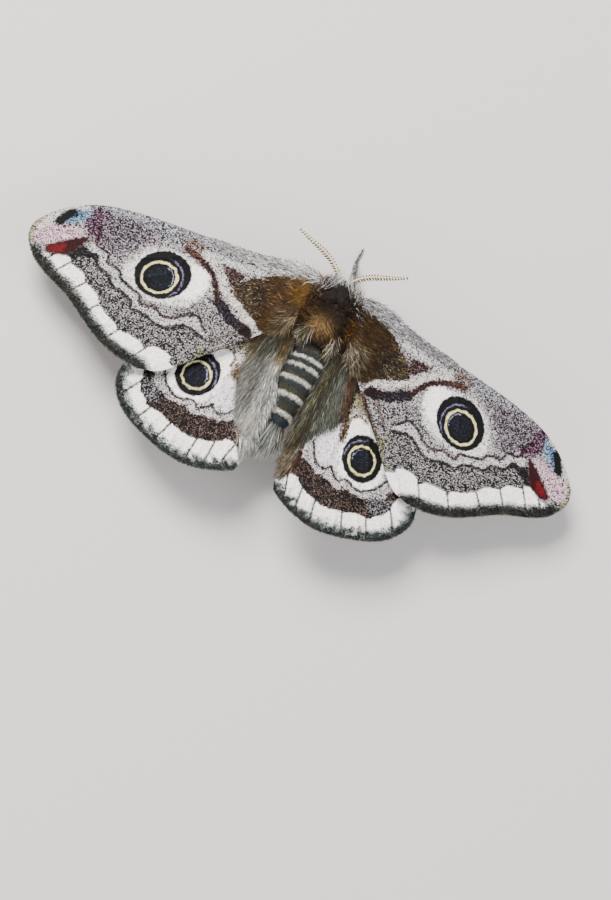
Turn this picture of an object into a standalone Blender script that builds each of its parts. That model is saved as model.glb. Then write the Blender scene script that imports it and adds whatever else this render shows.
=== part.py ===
"""Female emperor moth, life size, standing with its wings spread flat.

The shapes are worked out in millimetres, in the moth's own terms: u runs outward
from the midline of the body, v towards the head, and z up from the floor.
place() turns these into the model's frame in metres, where the head looks along -Y
and the moth's left side is +X.
"""
import math
import random

import bmesh
import bpy
import numpy as np
from mathutils import Matrix, Vector
from mathutils.geometry import delaunay_2d_cdt

MM = 0.001
GAP = 0.3
SEED = 7

# The box of the whole moth is centred between these two places on v.
FRONT_REACH = 12.322
REAR_REACH = -24.663
V_MIDDLE = (FRONT_REACH + REAR_REACH) / 2

# Wings: membrane, veins and the spacing of the mesh
WING_THICKNESS = 0.5
VEIN_RISE = 0.2
VEIN_UNDER = 0.1
VEIN_HALF_WIDTH = 0.34
EDGE_STEP = 1.5
VEIN_STEP = 2.0
GRID_STEP = 2.4

# Outline of the forewing from the root along the front edge, round the tip and back
FOREWING_OUTLINE = [
    (5.4, 4.3), (8.6, 3.7), (14.0, 3.0), (20.0, 2.4), (26.0, 1.7), (30.4, 0.7), (33.4, -0.7),
    (35.8, -2.6), (37.4, -4.6), (37.75, -6.2), (37.3, -7.6), (35.8, -9.4), (33.4, -10.7),
    (30.4, -11.9), (27.6, -13.6), (24.8, -15.2), (21.8, -16.2), (18.6, -16.5),
    (16.4, -15.8), (14.6, -14.3), (12.4, -11.8), (9.8, -9.1), (7.2, -6.2),
]
FOREWING_ROOT = (3.8, -2.3)
# Outline of the hindwing from the root along its hidden front edge, and round
HINDWING_OUTLINE = [
    (6.2, -1.9), (9.4, -3.4), (13.2, -5.6), (17.0, -8.6), (19.3, -12.0), (20.2, -15.4),
    (20.5, -17.4), (20.2, -19.0), (18.9, -21.0), (17.0, -22.4), (14.4, -23.5),
    (11.6, -24.3), (9.0, -24.6), (6.4, -24.2), (4.2, -23.4), (2.7, -22.6),
    (2.35, -21.2), (2.5, -18.6), (2.9, -16.2),
]
HINDWING_ROOT = (-14.0, -1.3)

# Main veins, each from its base or its fork to the margin
FOREWING_VEINS = [
    [(4.3, 2.4), (12.0, 1.9), (20.0, 1.1), (27.0, 0.3)],
    [(4.3, 1.3), (12.0, 0.4), (19.0, -0.5), (25.5, -0.9), (32.0, -1.0)],
    [(25.5, -0.9), (31.0, -2.6), (36.7, -4.6)],
    [(31.0, -2.6), (34.5, -5.2), (37.0, -7.2)],
    [(19.0, -0.5), (22.0, -2.6), (29.0, -5.6), (35.7, -8.8)],
    [(19.0, -0.5), (20.4, -4.2), (26.5, -7.6), (33.0, -10.6)],
    [(17.0, -7.2), (23.0, -9.4), (29.8, -12.0)],
    [(17.0, -7.2), (21.5, -10.8), (25.9, -14.2)],
    [(13.2, -5.4), (17.4, -10.6), (21.9, -15.8)],
    [(4.3, 0.2), (9.0, -2.5), (13.2, -5.4), (17.0, -7.2)],
    [(4.3, -1.2), (9.5, -6.6), (17.4, -15.9)],
]
HINDWING_VEINS = [
    [(3.9, -3.6), (10.0, -6.4), (18.4, -11.2)],
    [(5.6, -5.8), (10.5, -9.4), (19.9, -16.2)],
    [(10.5, -9.4), (14.6, -13.6), (19.8, -19.2)],
    [(10.5, -9.4), (12.6, -14.6), (17.7, -21.5)],
    [(9.6, -13.0), (12.2, -17.4), (14.7, -23.0)],
    [(9.6, -13.0), (10.4, -17.8), (11.5, -23.9)],
    [(7.2, -11.0), (7.5, -17.0), (7.6, -24.0)],
    [(3.9, -3.6), (5.6, -5.8), (7.2, -11.0), (9.6, -13.0)],
    [(3.9, -4.4), (4.6, -12.0), (4.6, -23.1)],
]

# Rings along the body: v, half width, half height, height of the centre
THORAX_RINGS = [
    (-3.8, 2.0, 1.9, 5.9), (-3.0, 2.9, 2.65, 6.05), (-1.4, 3.35, 3.1, 6.25),
    (0.8, 3.45, 3.2, 6.25), (2.6, 3.0, 2.7, 6.1), (3.75, 1.9, 1.7, 5.9),
]
THORAX_NOSES = (-3.95, 4.0)
ABDOMEN_FRONT = -4.3
ABDOMEN_JOINTS = [-6.7, -8.4, -10.4, -12.6, -14.4]
ABDOMEN_TIP = -15.9
ABDOMEN_WIDTH = 3.1
ABDOMEN_HEIGHT = 3.0
ABDOMEN_AXIS_FRONT = 5.4
ABDOMEN_AXIS_REAR = 4.9
ABDOMEN_LEAN = 0.8
BODY_SIDES = 18

HEAD_CENTRE = (0.0, 4.7, 4.25)
HEAD_SIZE = (1.75, 1.45, 1.5)
EYE_CENTRE = (1.5, 5.0, 4.15)
EYE_RADIUS = 0.85

# Antennae: the path of each shaft, and the teeth along both its edges
ANTENNA_PATHS = {
    "L": [(0.8, 5.75, 5.75), (1.45, 6.55, 5.8), (2.3, 7.25, 5.75), (3.3, 7.8, 5.7),
          (4.6, 8.3, 5.6), (6.2, 8.75, 5.5), (7.7, 9.25, 5.4)],
    "R": [(0.7, 5.7, 5.75), (1.2, 6.4, 5.8), (1.9, 7.1, 5.75), (2.9, 7.8, 5.7),
          (4.3, 8.5, 5.6), (5.8, 9.2, 5.5), (7.1, 9.95, 5.4)],
}
ANTENNA_RADIUS = 0.26
ANTENNA_TIP_RADIUS = 0.14
TOOTH_COUNT = 14
TOOTH_REACH = 0.8
TOOTH_RADIUS = 0.16

# Legs: path of each from the underside of the thorax to the end of the foot.
# The right foreleg stretches ahead of the head, and the left one is drawn aside.
MIDLEG_PATH = [
    (1.45, -0.2, 2.75), (2.3, -0.1, 2.0), (4.1, 0.4, 2.9), (5.4, 0.9, 2.7),
    (6.7, 1.3, 1.4), (7.5, 1.5, 0.32), (8.4, 1.7, 0.27), (9.6, 1.9, 0.27),
]
HINDLEG_PATH = [
    (1.35, -2.35, 2.85), (2.3, -2.9, 2.0), (4.1, -4.6, 2.9), (5.3, -6.6, 2.9),
    (5.9, -9.2, 1.5), (6.1, -11.0, 0.34), (6.2, -12.2, 0.27), (6.3, -13.8, 0.27),
]
LEG_PATHS = {
    "foreleg_L": [
        (1.3, 2.2, 2.95), (1.9, 2.7, 2.1), (3.2, 3.6, 2.5), (4.4, 4.1, 2.4),
        (5.4, 4.4, 1.2), (6.0, 4.5, 0.32), (6.8, 4.6, 0.27), (7.9, 4.7, 0.27),
    ],
    "foreleg_R": [
        (1.3, 2.2, 2.95), (2.0, 3.2, 2.0), (2.1, 5.0, 1.9), (1.4, 7.2, 2.2),
        (1.05, 9.1, 1.7), (1.05, 10.3, 0.4), (1.1, 11.2, 0.27), (1.2, 12.3, 0.27),
    ],
    "midleg_L": MIDLEG_PATH, "midleg_R": MIDLEG_PATH,
    "hindleg_L": HINDLEG_PATH, "hindleg_R": HINDLEG_PATH,
}
LEG_RADII = [0.5, 0.6, 0.66, 0.58, 0.52, 0.42, 0.34, 0.26]
LEG_SIDES = 8
LEG_LOCKS = 6

# Locks of the coat: flat ribbons that taper to a tip
LOCK_THICKNESS = 0.5
LOCK_SINK = 0.7
COAT_ROWS = [2.4, 1.1, -0.2, -1.4, -2.5]
COAT_STEP = 22
COAT_CURVE = 3.3
SIDE_LOCK_FLOOR = 8.32
REAR_LOCK_FLOOR = 8.3
COLLAR_ANGLES = [50, 63, 77, 90, 104, 117, 130]
COLLAR_FLOOR = 6.15
TAIL_LOCKS = 11
FRINGE_LOCKS = 6

COLOURS = {
    "thorax": (0.20, 0.13, 0.07), "head": (0.30, 0.22, 0.15), "abdomen": (0.24, 0.23, 0.20),
    "forewing": (0.42, 0.38, 0.36), "hindwing": (0.44, 0.40, 0.36), "eye": (0.02, 0.02, 0.02),
    "antenna": (0.72, 0.60, 0.40), "leg": (0.42, 0.42, 0.42),
}
ROUGHNESS = {"eye": 0.15, "antenna": 0.5}


def clear_scene():
    for old in list(bpy.data.objects):
        bpy.data.objects.remove(old, do_unlink=True)


def material(kind):
    """One plain Principled finish for each kind of piece."""
    name = kind + "_finish"
    found = bpy.data.materials.get(name)
    if found:
        return found
    made = bpy.data.materials.new(name)
    made.use_nodes = True
    shader = made.node_tree.nodes["Principled BSDF"]
    shader.inputs["Base Color"].default_value = (*COLOURS[kind], 1.0)
    shader.inputs["Roughness"].default_value = ROUGHNESS.get(kind, 0.85)
    shader.inputs["Metallic"].default_value = 0.0
    return made


def place(side, point):
    """A point (u, v, z) on side +1 or -1 in the model's frame, still in millimetres."""
    u, v, z = point
    return Vector((side * u, -(v - V_MIDDLE), z))


def solid(name, points, faces, side=1):
    """A mesh object from (u, v, z) points, with its faces turned outward."""
    mesh = bpy.data.meshes.new(name)
    mesh.from_pydata([place(side, p) for p in points], [], faces)
    shell = bmesh.new()
    shell.from_mesh(mesh)
    bmesh.ops.recalc_face_normals(shell, faces=shell.faces)
    if shell.calc_volume(signed=True) < 0:
        bmesh.ops.reverse_faces(shell, faces=shell.faces)
    bmesh.ops.triangulate(shell, faces=shell.faces)
    shell.to_mesh(mesh)
    shell.free()
    made = bpy.data.objects.new(name, mesh)
    bpy.context.scene.collection.objects.link(made)
    return made


def finish(node, kind):
    """Brings a finished node from millimetres to metres, and gives it its material."""
    node.data.transform(Matrix.Scale(MM, 4))
    node.data.materials.clear()
    node.data.materials.append(material(kind))
    node.data.shade_smooth()
    node.data.set_sharp_from_angle(angle=math.radians(40))


def smooth_path(points, step, closed=False):
    """Points about step apart on a Catmull-Rom curve through the given ones."""
    given = [np.array(p, float) for p in points]
    count = len(given)
    spans = count if closed else count - 1
    out = []
    for i in range(spans):
        if closed:
            p0, p1, p2, p3 = (given[(i + k) % count] for k in (-1, 0, 1, 2))
        else:
            p1, p2 = given[i], given[i + 1]
            p0 = given[i - 1] if i else 2 * p1 - p2
            p3 = given[i + 2] if i + 2 < count else 2 * p2 - p1
        parts = max(1, round(float(np.linalg.norm(p2 - p1)) / step))
        for k in range(parts):
            t = k / parts
            out.append(0.5 * (2 * p1 + (p2 - p0) * t + (2 * p0 - 5 * p1 + 4 * p2 - p3) * t * t
                              + (3 * p1 - p0 - 3 * p2 + p3) * t ** 3))
    if not closed:
        out.append(given[-1])
    return out


def ring_at(rings, v):
    """Half width, half height and centre height of a body at v, by a smooth curve."""
    rings = sorted(rings)
    places = [r[0] for r in rings]
    v = min(max(v, places[0]), places[-1])
    i = min(max(np.searchsorted(places, v) - 1, 0), len(rings) - 2)
    t = (v - places[i]) / (places[i + 1] - places[i])
    t = t * t * (3 - 2 * t)
    low, high = np.array(rings[i][1:]), np.array(rings[i + 1][1:])
    return low + (high - low) * t


def half_width_at(rings, v, z):
    """Half width of a body at v, measured at height z."""
    wide, tall, centre = ring_at(rings, v)
    inside = 1 - ((z - centre) / tall) ** 2
    return wide * math.sqrt(max(inside, 0.0))


def loft(rings, poles):
    """Points and faces of a closed shell over rings of points, with a pole at each end."""
    sides = len(rings[0])
    points = [tuple(p) for ring in rings for p in ring]
    first, last = len(points), len(points) + 1
    points += [tuple(poles[0]), tuple(poles[1])]
    faces = []
    for r in range(len(rings) - 1):
        for s in range(sides):
            a, b = r * sides + s, r * sides + (s + 1) % sides
            faces.append((a, b, b + sides, a + sides))
    base = (len(rings) - 1) * sides
    for s in range(sides):
        faces.append((first, (s + 1) % sides, s))
        faces.append((last, base + s, base + (s + 1) % sides))
    return points, faces


def body_shell(name, rings, noses, grow=0.0, lean=None):
    """A body of oval rings along v; noses are the v of its two rounded ends."""
    shift = lean or (lambda v: 0.0)
    ovals = []
    for v, wide, tall, centre in rings:
        oval = []
        for s in range(BODY_SIDES):
            turn = 2 * math.pi * s / BODY_SIDES
            oval.append((shift(v) + (wide + grow) * math.cos(turn), v,
                         centre + (tall + grow) * math.sin(turn)))
        ovals.append(oval)
    poles = [(shift(noses[0]), noses[0], rings[0][3]), (shift(noses[1]), noses[1], rings[-1][3])]
    return solid(name, *loft(ovals, poles))


def tube(points, radii, sides, side=1, name="tube", tall=1.0):
    """A closed tube swept along points, each ring square to the path."""
    path = [Vector(p) for p in points]
    rings = []
    across = None
    for i, p in enumerate(path):
        ahead = path[min(i + 1, len(path) - 1)] - path[max(i - 1, 0)]
        ahead.normalize()
        if across is None:
            across = ahead.cross(Vector((0, 0, 1)))
        across = across - ahead * across.dot(ahead)
        across.normalize()
        up = across.cross(ahead)
        ring = []
        for s in range(sides):
            turn = 2 * math.pi * (s + 0.5) / sides
            ring.append(p + across * (radii[i] * math.cos(turn))
                        + up * (radii[i] * tall * math.sin(turn)))
        rings.append(ring)
    return solid(name, *loft(rings, (path[0], path[-1])), side=side)


def ellipsoid(name, centre, size, sides, rows, side=1, grow=0.0):
    rings = []
    for r in range(1, rows):
        polar = math.pi * r / rows
        ring = []
        for s in range(sides):
            turn = 2 * math.pi * s / sides
            ring.append((centre[0] + (size[0] + grow) * math.sin(polar) * math.cos(turn),
                         centre[1] + (size[1] + grow) * math.cos(polar),
                         centre[2] + (size[2] + grow) * math.sin(polar) * math.sin(turn)))
        rings.append(ring)
    poles = [(centre[0], centre[1] + size[1] + grow, centre[2]),
             (centre[0], centre[1] - size[1] - grow, centre[2])]
    return solid(name, *loft(rings, poles), side=side)


def lock(root, normal, lie, length, width, side=1, lift=0.25, rise=0.55, sink=None, floor=None,
         curve=None):
    """A flat hair lock: its root is sunk under the skin, and it bends over along its lie.

    sink is the way from the root to the lock's buried end, straight down if not given.
    curve is the radius of the body that the lock lies round, if it follows one.
    floor is the height that its outer stretch stays above, where it hangs over a wing.
    """
    root, normal, lie = Vector(root), Vector(normal).normalized(), Vector(lie)
    lie = (lie - normal * lie.dot(normal)).normalized()
    start = root + (Vector(sink) if sink else -normal * LOCK_SINK)
    bend = root + normal * (rise + lift) + lie * (0.3 * length)
    droop = 0.62 * length ** 2 / (2 * curve) if curve else 0.0
    level = floor + random.uniform(0.0, 0.15) if floor is not None else None
    tip = root + lie * length + normal * (lift - droop)
    stations = [(0.0, 0.75, 1.0), (0.42, 1.0, 1.0), (0.78, 0.66, 0.8)]
    rings = []
    for t, wide, thick in stations + [(1.0, 0.0, 0.0)]:
        centre = start * (1 - t) ** 2 + bend * (2 * t * (1 - t)) + tip * t * t
        if level is not None and t > 0.5:
            centre.z = max(centre.z, level + 0.5 * LOCK_THICKNESS * thick)
        ahead = (bend - start) * (1 - t) + (tip - bend) * t
        across = ahead.cross(normal)
        if across.length < 0.05:
            across = lie.cross(normal)
        across.normalize()
        up = across.cross(ahead).normalized()
        half, deep = 0.5 * width * wide, 0.5 * LOCK_THICKNESS * thick
        rings.append([centre + across * half, centre + up * deep,
                      centre - across * half, centre - up * deep])
    tip_point = sum(rings[-1], Vector()) / 4
    points = [p for ring in rings[:-1] for p in ring] + [tip_point]
    faces = [(0, 1, 2, 3)]
    for r in range(2):
        for s in range(4):
            a, b = 4 * r + s, 4 * r + (s + 1) % 4
            faces.append((a, b, b + 4, a + 4))
    faces += [(8 + s, 8 + (s + 1) % 4, 12) for s in range(4)]
    return solid("lock", points, faces, side=side)


def keep_largest(node):
    """Drops all but the largest closed surface of a node."""
    shell = bmesh.new()
    shell.from_mesh(node.data)
    unseen = set(shell.faces)
    groups = []
    while unseen:
        stack = [unseen.pop()]
        group = list(stack)
        while stack:
            face = stack.pop()
            for edge in face.edges:
                if len(edge.link_faces) != 2:
                    continue
                for other in edge.link_faces:
                    if other in unseen:
                        unseen.remove(other)
                        stack.append(other)
                        group.append(other)
        groups.append(group)
    groups.sort(key=lambda g: -sum(f.calc_area() for f in g))
    for group in groups[1:]:
        bmesh.ops.delete(shell, geom=group, context="FACES")
    loose = [v for v in shell.verts if not v.link_faces]
    bmesh.ops.delete(shell, geom=loose, context="VERTS")
    bmesh.ops.triangulate(shell, faces=shell.faces)
    shell.to_mesh(node.data)
    shell.free()


def boolean(node, others, operation):
    """Joins other closed objects to a node, or cuts them out of it, and removes them."""
    if not others:
        return
    group = bpy.data.collections.new("operands")
    bpy.context.scene.collection.children.link(group)
    for other in others:
        bpy.context.scene.collection.objects.unlink(other)
        group.objects.link(other)
    step = node.modifiers.new(operation.lower(), "BOOLEAN")
    step.operation = operation
    step.operand_type = "COLLECTION"
    step.collection = group
    step.solver = "EXACT"
    bpy.context.view_layer.update()
    seen = node.evaluated_get(bpy.context.evaluated_depsgraph_get())
    result = bpy.data.meshes.new_from_object(seen)
    node.modifiers.clear()
    node.data = result
    for other in others:
        bpy.data.objects.remove(other, do_unlink=True)
    bpy.data.collections.remove(group)
    keep_largest(node)


# Wings


def forewing_height(u, v):
    """Height of the middle of the forewing's membrane above the floor."""
    return 7.5 - 0.065 * (u - 3) - 1.2 * (u / 38) ** 2 - 0.05 * v


def hindwing_height(u, v):
    """The hindwing lies just under the forewing where they overlap."""
    return 6.7 - 0.10 * (u - 3) - 0.05 * (v + 3.5)


def polygon_test(points, outline):
    """For each point, whether it lies inside the outline, and how far from its edge."""
    a = np.array(outline)
    b = np.roll(a, -1, axis=0)
    inside = np.zeros(len(points), bool)
    far = np.full(len(points), 1e9)
    for p, q in zip(a, b):
        run = q - p
        t = np.clip(((points - p) @ run) / (run @ run), 0, 1)
        far = np.minimum(far, np.linalg.norm(points - (p + t[:, None] * run), axis=1))
        crosses = (p[1] > points[:, 1]) != (q[1] > points[:, 1])
        with np.errstate(divide="ignore", invalid="ignore"):
            reach = p[0] + (points[:, 1] - p[1]) * run[0] / run[1]
        inside ^= crosses & (points[:, 0] < reach)
    return inside, far


def vein_ridge(points, veins):
    """How much of the veins' full rise each point has: 1 on a vein, 0 beside it."""
    near = np.full(len(points), 1e9)
    for vein in veins:
        for p, q in zip(vein, vein[1:]):
            run = q - p
            t = np.clip(((points - p) @ run) / (run @ run), 0, 1)
            near = np.minimum(near, np.linalg.norm(points - (p + t[:, None] * run), axis=1))
    return np.clip(1 - near / VEIN_HALF_WIDTH, 0, 1)


def wing_plan(outline, veins):
    """The points and triangles of a wing seen from above, with its veins among them."""
    points = [np.array(p) for p in outline]
    rim = list(range(len(points)))
    edges = [(i, (i + 1) % len(rim)) for i in rim]

    def add(candidate, apart, margin):
        """Index of a new point, or of the one that it is too near to, or None."""
        inside, far = polygon_test(np.array([candidate]), outline)
        if not inside[0] or far[0] < margin:
            return None
        gaps = np.linalg.norm(np.array(points) - candidate, axis=1)
        nearest = int(np.argmin(gaps))
        if gaps[nearest] < apart:
            return nearest
        points.append(candidate)
        return len(points) - 1

    for vein in veins:
        before = None
        for p in vein:
            index = add(p, 0.4, 0.4)
            if index is not None and before is not None and index != before:
                edges.append((before, index))
            before = index if index is not None else before
    for vein in veins:
        for i, p in enumerate(vein):
            run = vein[min(i + 1, len(vein) - 1)] - vein[max(i - 1, 0)]
            across = np.array([-run[1], run[0]]) / np.linalg.norm(run)
            for way in (-1, 1):
                add(p + across * way * VEIN_HALF_WIDTH, 0.26, 0.3)
    low, high = np.min(outline, axis=0), np.max(outline, axis=0)
    row = 0
    v = low[1]
    while v < high[1]:
        u = low[0] + (row % 2) * GRID_STEP / 2
        while u < high[0]:
            add(np.array([u, v]), 0.45 * GRID_STEP, 0.35 * GRID_STEP)
            u += GRID_STEP
        v += GRID_STEP * math.sqrt(3) / 2
        row += 1
    made = delaunay_2d_cdt([Vector(p) for p in points], edges, [rim], 1, 1e-5)
    return np.array([tuple(p) for p in made[0]]), [tuple(f) for f in made[2]]


def wing(name, side, outline, veins, height):
    """A wing as one thin plate, its veins raised in both faces."""
    veins = [smooth_path(vein, VEIN_STEP) for vein in veins]
    plan, triangles = wing_plan(outline, veins)
    rise = vein_ridge(plan, veins)
    middle = height(plan[:, 0], plan[:, 1])
    top = middle + WING_THICKNESS / 2 + VEIN_RISE * rise
    bottom = middle - WING_THICKNESS / 2 - VEIN_UNDER * rise
    count = len(plan)
    points = [(u, v, z) for (u, v), z in zip(plan, top)]
    points += [(u, v, z) for (u, v), z in zip(plan, bottom)]
    faces = [tuple(t) for t in triangles]
    faces += [tuple(i + count for i in reversed(t)) for t in triangles]
    used = {}
    for t in triangles:
        for a, b in zip(t, t[1:] + t[:1]):
            used[(a, b)] = True
    for a, b in list(used):
        if (b, a) not in used:
            faces.append((b, a, a + count))
            faces.append((b, a + count, b + count))
    return solid(name, points, faces, side=side)


def forewing_outline():
    front = 3.6
    rear = FOREWING_ROOT[1]
    base = []
    for k in range(5):
        v = rear + (front - rear) * k / 4
        z = forewing_height(3.5, v)
        base.append((half_width_at(THORAX_RINGS, min(v, 2.6), z - 0.3) + GAP, v))
    return smooth_path(base + FOREWING_OUTLINE, EDGE_STEP, closed=True)


def hindwing_outline(side):
    """The inner edge of the hindwing runs just clear of the thorax and the abdomen."""
    rear, front = HINDWING_ROOT
    base = []
    for k in range(7):
        v = rear + (front - rear) * k / 6
        z = hindwing_height(3.3, v) - 0.3
        wide = half_width_at(ABDOMEN_RINGS, v, z) + side * abdomen_lean(v)
        if v > THORAX_NOSES[0]:
            wide = max(wide, half_width_at(THORAX_RINGS, v, z))
        base.append((wide + GAP, v))
    return smooth_path(base + HINDWING_OUTLINE, EDGE_STEP, closed=True)


def fringe(side):
    """Hair locks along the rear of the hindwing's inner edge, in line with the membrane."""
    locks = []
    first, last = (2.75, -15.6), (2.6, -21.6)
    for k in range(FRINGE_LOCKS):
        t = k / (FRINGE_LOCKS - 1)
        u = first[0] + (last[0] - first[0]) * t - 0.25 * math.sin(math.pi * t)
        v = first[1] + (last[1] - first[1]) * t
        lie = (-0.2 + random.uniform(-0.06, 0.06), -1.0, 0.0)
        root = (u, v, hindwing_height(u, v))
        locks.append(lock(root, (0, 0, 1), lie, 3.2 + random.uniform(-0.3, 0.4), 1.3, side,
                          lift=0.0, rise=0.12, sink=(0.8, 0.5, 0.0)))
    return locks


def make_wings():
    for side, letter in ((1, "L"), (-1, "R")):
        fore = wing("forewing_" + letter, side, forewing_outline(), FOREWING_VEINS, forewing_height)
        finish(fore, "forewing")
        hind = wing("hindwing_" + letter, side, hindwing_outline(side), HINDWING_VEINS,
                    hindwing_height)
        boolean(hind, fringe(side), "UNION")
        finish(hind, "hindwing")


# Body


def abdomen_rings():
    """Rings of the abdomen: each segment swells and is drawn in at its joint."""
    joints = [ABDOMEN_FRONT] + ABDOMEN_JOINTS + [ABDOMEN_TIP]
    length = ABDOMEN_TIP - ABDOMEN_FRONT
    rings = []
    for a, b in zip(joints, joints[1:]):
        for t, swell in ((0.0, 0.0), (0.3, 0.13), (0.85, 0.2)):
            v = a + (b - a) * t
            along = (v - ABDOMEN_FRONT) / length
            taper = math.sin(math.pi * (0.22 + 0.70 * along)) ** 0.55
            axis = ABDOMEN_AXIS_FRONT + (ABDOMEN_AXIS_REAR - ABDOMEN_AXIS_FRONT) * along
            rings.append((v, (ABDOMEN_WIDTH - 0.2) * taper + swell,
                          (ABDOMEN_HEIGHT - 0.2) * taper + swell, axis))
    return rings


ABDOMEN_RINGS = abdomen_rings()


def abdomen_lean(v):
    """How far the abdomen's midline stands towards the moth's left at v."""
    along = max(0.0, (ABDOMEN_FRONT - v) / (ABDOMEN_FRONT - ABDOMEN_TIP))
    return ABDOMEN_LEAN * along ** 1.3


def skin_point(rings, v, degrees):
    """A point on a body's surface at v, and the way out of it; 90 degrees is the back."""
    def at(v, degrees):
        wide, tall, centre = ring_at(rings, v)
        turn = math.radians(degrees)
        return Vector((wide * math.cos(turn), v, centre + tall * math.sin(turn)))
    here = at(v, degrees)
    along = at(v + 0.1, degrees) - at(v - 0.1, degrees)
    around = at(v, degrees + 2) - at(v, degrees - 2)
    normal = along.cross(around).normalized()
    wide, tall, centre = ring_at(rings, v)
    if normal.dot(here - Vector((0, v, centre))) < 0:
        normal = -normal
    return here, normal


def coat_locks():
    """The thorax's coat: rows over the back, the collar, the rear tuft and the flanks."""
    locks = []
    for row, v in enumerate(COAT_ROWS):
        degrees = 38 + (row % 2) * COAT_STEP / 2
        while degrees <= 142.5:
            root, normal = skin_point(THORAX_RINGS, v + random.uniform(-0.15, 0.15), degrees)
            outward = math.cos(math.radians(degrees))
            lie = (0.9 * outward + random.uniform(-0.15, 0.15), -1.0, 0.0)
            length = 2.5 + 0.4 * abs(outward) + random.uniform(-0.2, 0.25)
            floor = REAR_LOCK_FLOOR if v < -1 else None
            floor = SIDE_LOCK_FLOOR if abs(outward) > 0.45 else floor
            degrees += COAT_STEP
            if floor is not None and root.z < floor - 0.8 * LOCK_THICKNESS:
                continue
            curve = COAT_CURVE if v > -2 else None
            locks.append(lock(root, normal, lie, length, 1.75, lift=0.3, rise=0.45,
                              floor=floor, curve=curve))
    for degrees in COLLAR_ANGLES:
        root, normal = skin_point(THORAX_RINGS, 3.05 + random.uniform(-0.1, 0.1), degrees)
        outward = math.cos(math.radians(degrees))
        locks.append(lock(root, normal, (0.6 * outward, 1.0, 0.0), 2.3, 1.6, lift=0.2,
                          floor=COLLAR_FLOOR, curve=COAT_CURVE))
    for v in (2.2, 0.9, -0.4, -1.7):
        for degrees in (-18, 198):
            root, normal = skin_point(THORAX_RINGS, v, degrees)
            locks.append(lock(root, normal, (0.0, -1.0, -0.55), 1.9, 1.5, lift=0.1, rise=0.3,
                              curve=COAT_CURVE))
    for v in (2.5, 1.2, -0.1, -1.4):
        root, normal = skin_point(THORAX_RINGS, v, -90)
        locks.append(lock(root, normal, (0.0, -1.0, 0.0), 1.5, 0.95, lift=0.0, rise=0.3))
    return locks


def make_thorax():
    core = body_shell("thorax", THORAX_RINGS, THORAX_NOSES)
    boolean(core, coat_locks(), "UNION")
    finish(core, "thorax")


def tail_locks():
    """The pale tuft round the tip of the abdomen."""
    locks = []
    for k in range(TAIL_LOCKS):
        degrees = 360 * k / TAIL_LOCKS + 90
        root, normal = skin_point(ABDOMEN_RINGS, -14.6, degrees)
        root.x = 0.75 * root.x + abdomen_lean(-14.6)
        root.z = 4.95 + 0.75 * (root.z - 4.95)
        lie = (-0.16 * math.cos(math.radians(degrees)), -1.0, 0.0)
        length = 3.9 + random.uniform(-0.5, 0.4)
        locks.append(lock(root, normal, lie, length, 1.15, lift=0.0, rise=0.15))
    return locks


def make_abdomen():
    core = body_shell("abdomen", ABDOMEN_RINGS, (ABDOMEN_FRONT, ABDOMEN_TIP - 0.2),
                      lean=abdomen_lean)
    boolean(core, tail_locks(), "UNION")
    finish(core, "abdomen")


def face_locks():
    """Short locks down the face, and the two palps under it."""
    locks = []
    for u, v, z in ((0.0, 6.0, 4.6), (-0.5, 5.95, 4.2), (0.5, 5.95, 4.2), (0.0, 6.05, 3.9)):
        locks.append(lock((u, v, z), (0.2 * u, 1.0, 0.1), (0.2 * u, 0.0, -1.0), 0.95, 0.7,
                          lift=0.05, rise=0.15, sink=(0, -0.5, 0)))
    for u in (-0.36, 0.36):
        locks.append(lock((u, 5.75, 3.2), (0, 0.7, -0.7), (0.0, 1.0, -0.15), 0.95, 0.55,
                          lift=0.1, rise=0.1, sink=(0, -0.5, 0.3)))
    return locks


def make_head():
    head = ellipsoid("head", HEAD_CENTRE, HEAD_SIZE, 16, 10)
    boolean(head, face_locks(), "UNION")
    cutters = [body_shell("thorax_room", THORAX_RINGS, THORAX_NOSES, grow=GAP)]
    for side, letter in ((1, "L"), (-1, "R")):
        cutters.append(ellipsoid("eye_room", EYE_CENTRE, [EYE_RADIUS] * 3, 14, 9, side, GAP))
        eye = ellipsoid("eye_" + letter, EYE_CENTRE, [EYE_RADIUS] * 3, 14, 9, side)
        finish(eye, "eye")
    boolean(head, cutters, "DIFFERENCE")
    finish(head, "head")


def tooth(centre, out, reach, side):
    """A three-sided spike of an antenna, its base buried in the shaft."""
    centre, out = Vector(centre), Vector(out).normalized()
    across = out.cross(Vector((0, 0, 1))).normalized()
    up = across.cross(out)
    base = []
    for k in range(3):
        turn = 2 * math.pi * k / 3 + math.pi / 2
        base.append(centre + TOOTH_RADIUS * (across * math.cos(turn) + up * math.sin(turn)))
    points = base + [centre + out * reach]
    return solid("tooth", points, [(0, 1, 2), (0, 1, 3), (1, 2, 3), (2, 0, 3)], side=side)


def make_antenna(side, letter):
    path = smooth_path(ANTENNA_PATHS[letter], 0.75)
    last = len(path) - 1
    radii = [ANTENNA_RADIUS + (ANTENNA_TIP_RADIUS - ANTENNA_RADIUS) * (i / last) ** 2
             for i in range(last + 1)]
    shaft = tube(path, radii, 6, side, "antenna_" + letter)
    teeth = []
    for k in range(TOOTH_COUNT):
        at = 1.2 + (last - 1.7) * k / (TOOTH_COUNT - 1)
        i = int(at)
        here = path[i] + (path[i + 1] - path[i]) * (at - i)
        ahead = path[i + 1] - path[i]
        ahead /= np.linalg.norm(ahead)
        across = np.cross(ahead, (0, 0, 1))
        reach = TOOTH_REACH * (1 - 0.45 * k / TOOTH_COUNT)
        for way in (-1, 1):
            out = across * way + ahead * 0.35
            teeth.append(tooth(here, out, reach, side))
    boolean(shaft, teeth, "UNION")
    finish(shaft, "antenna")


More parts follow.
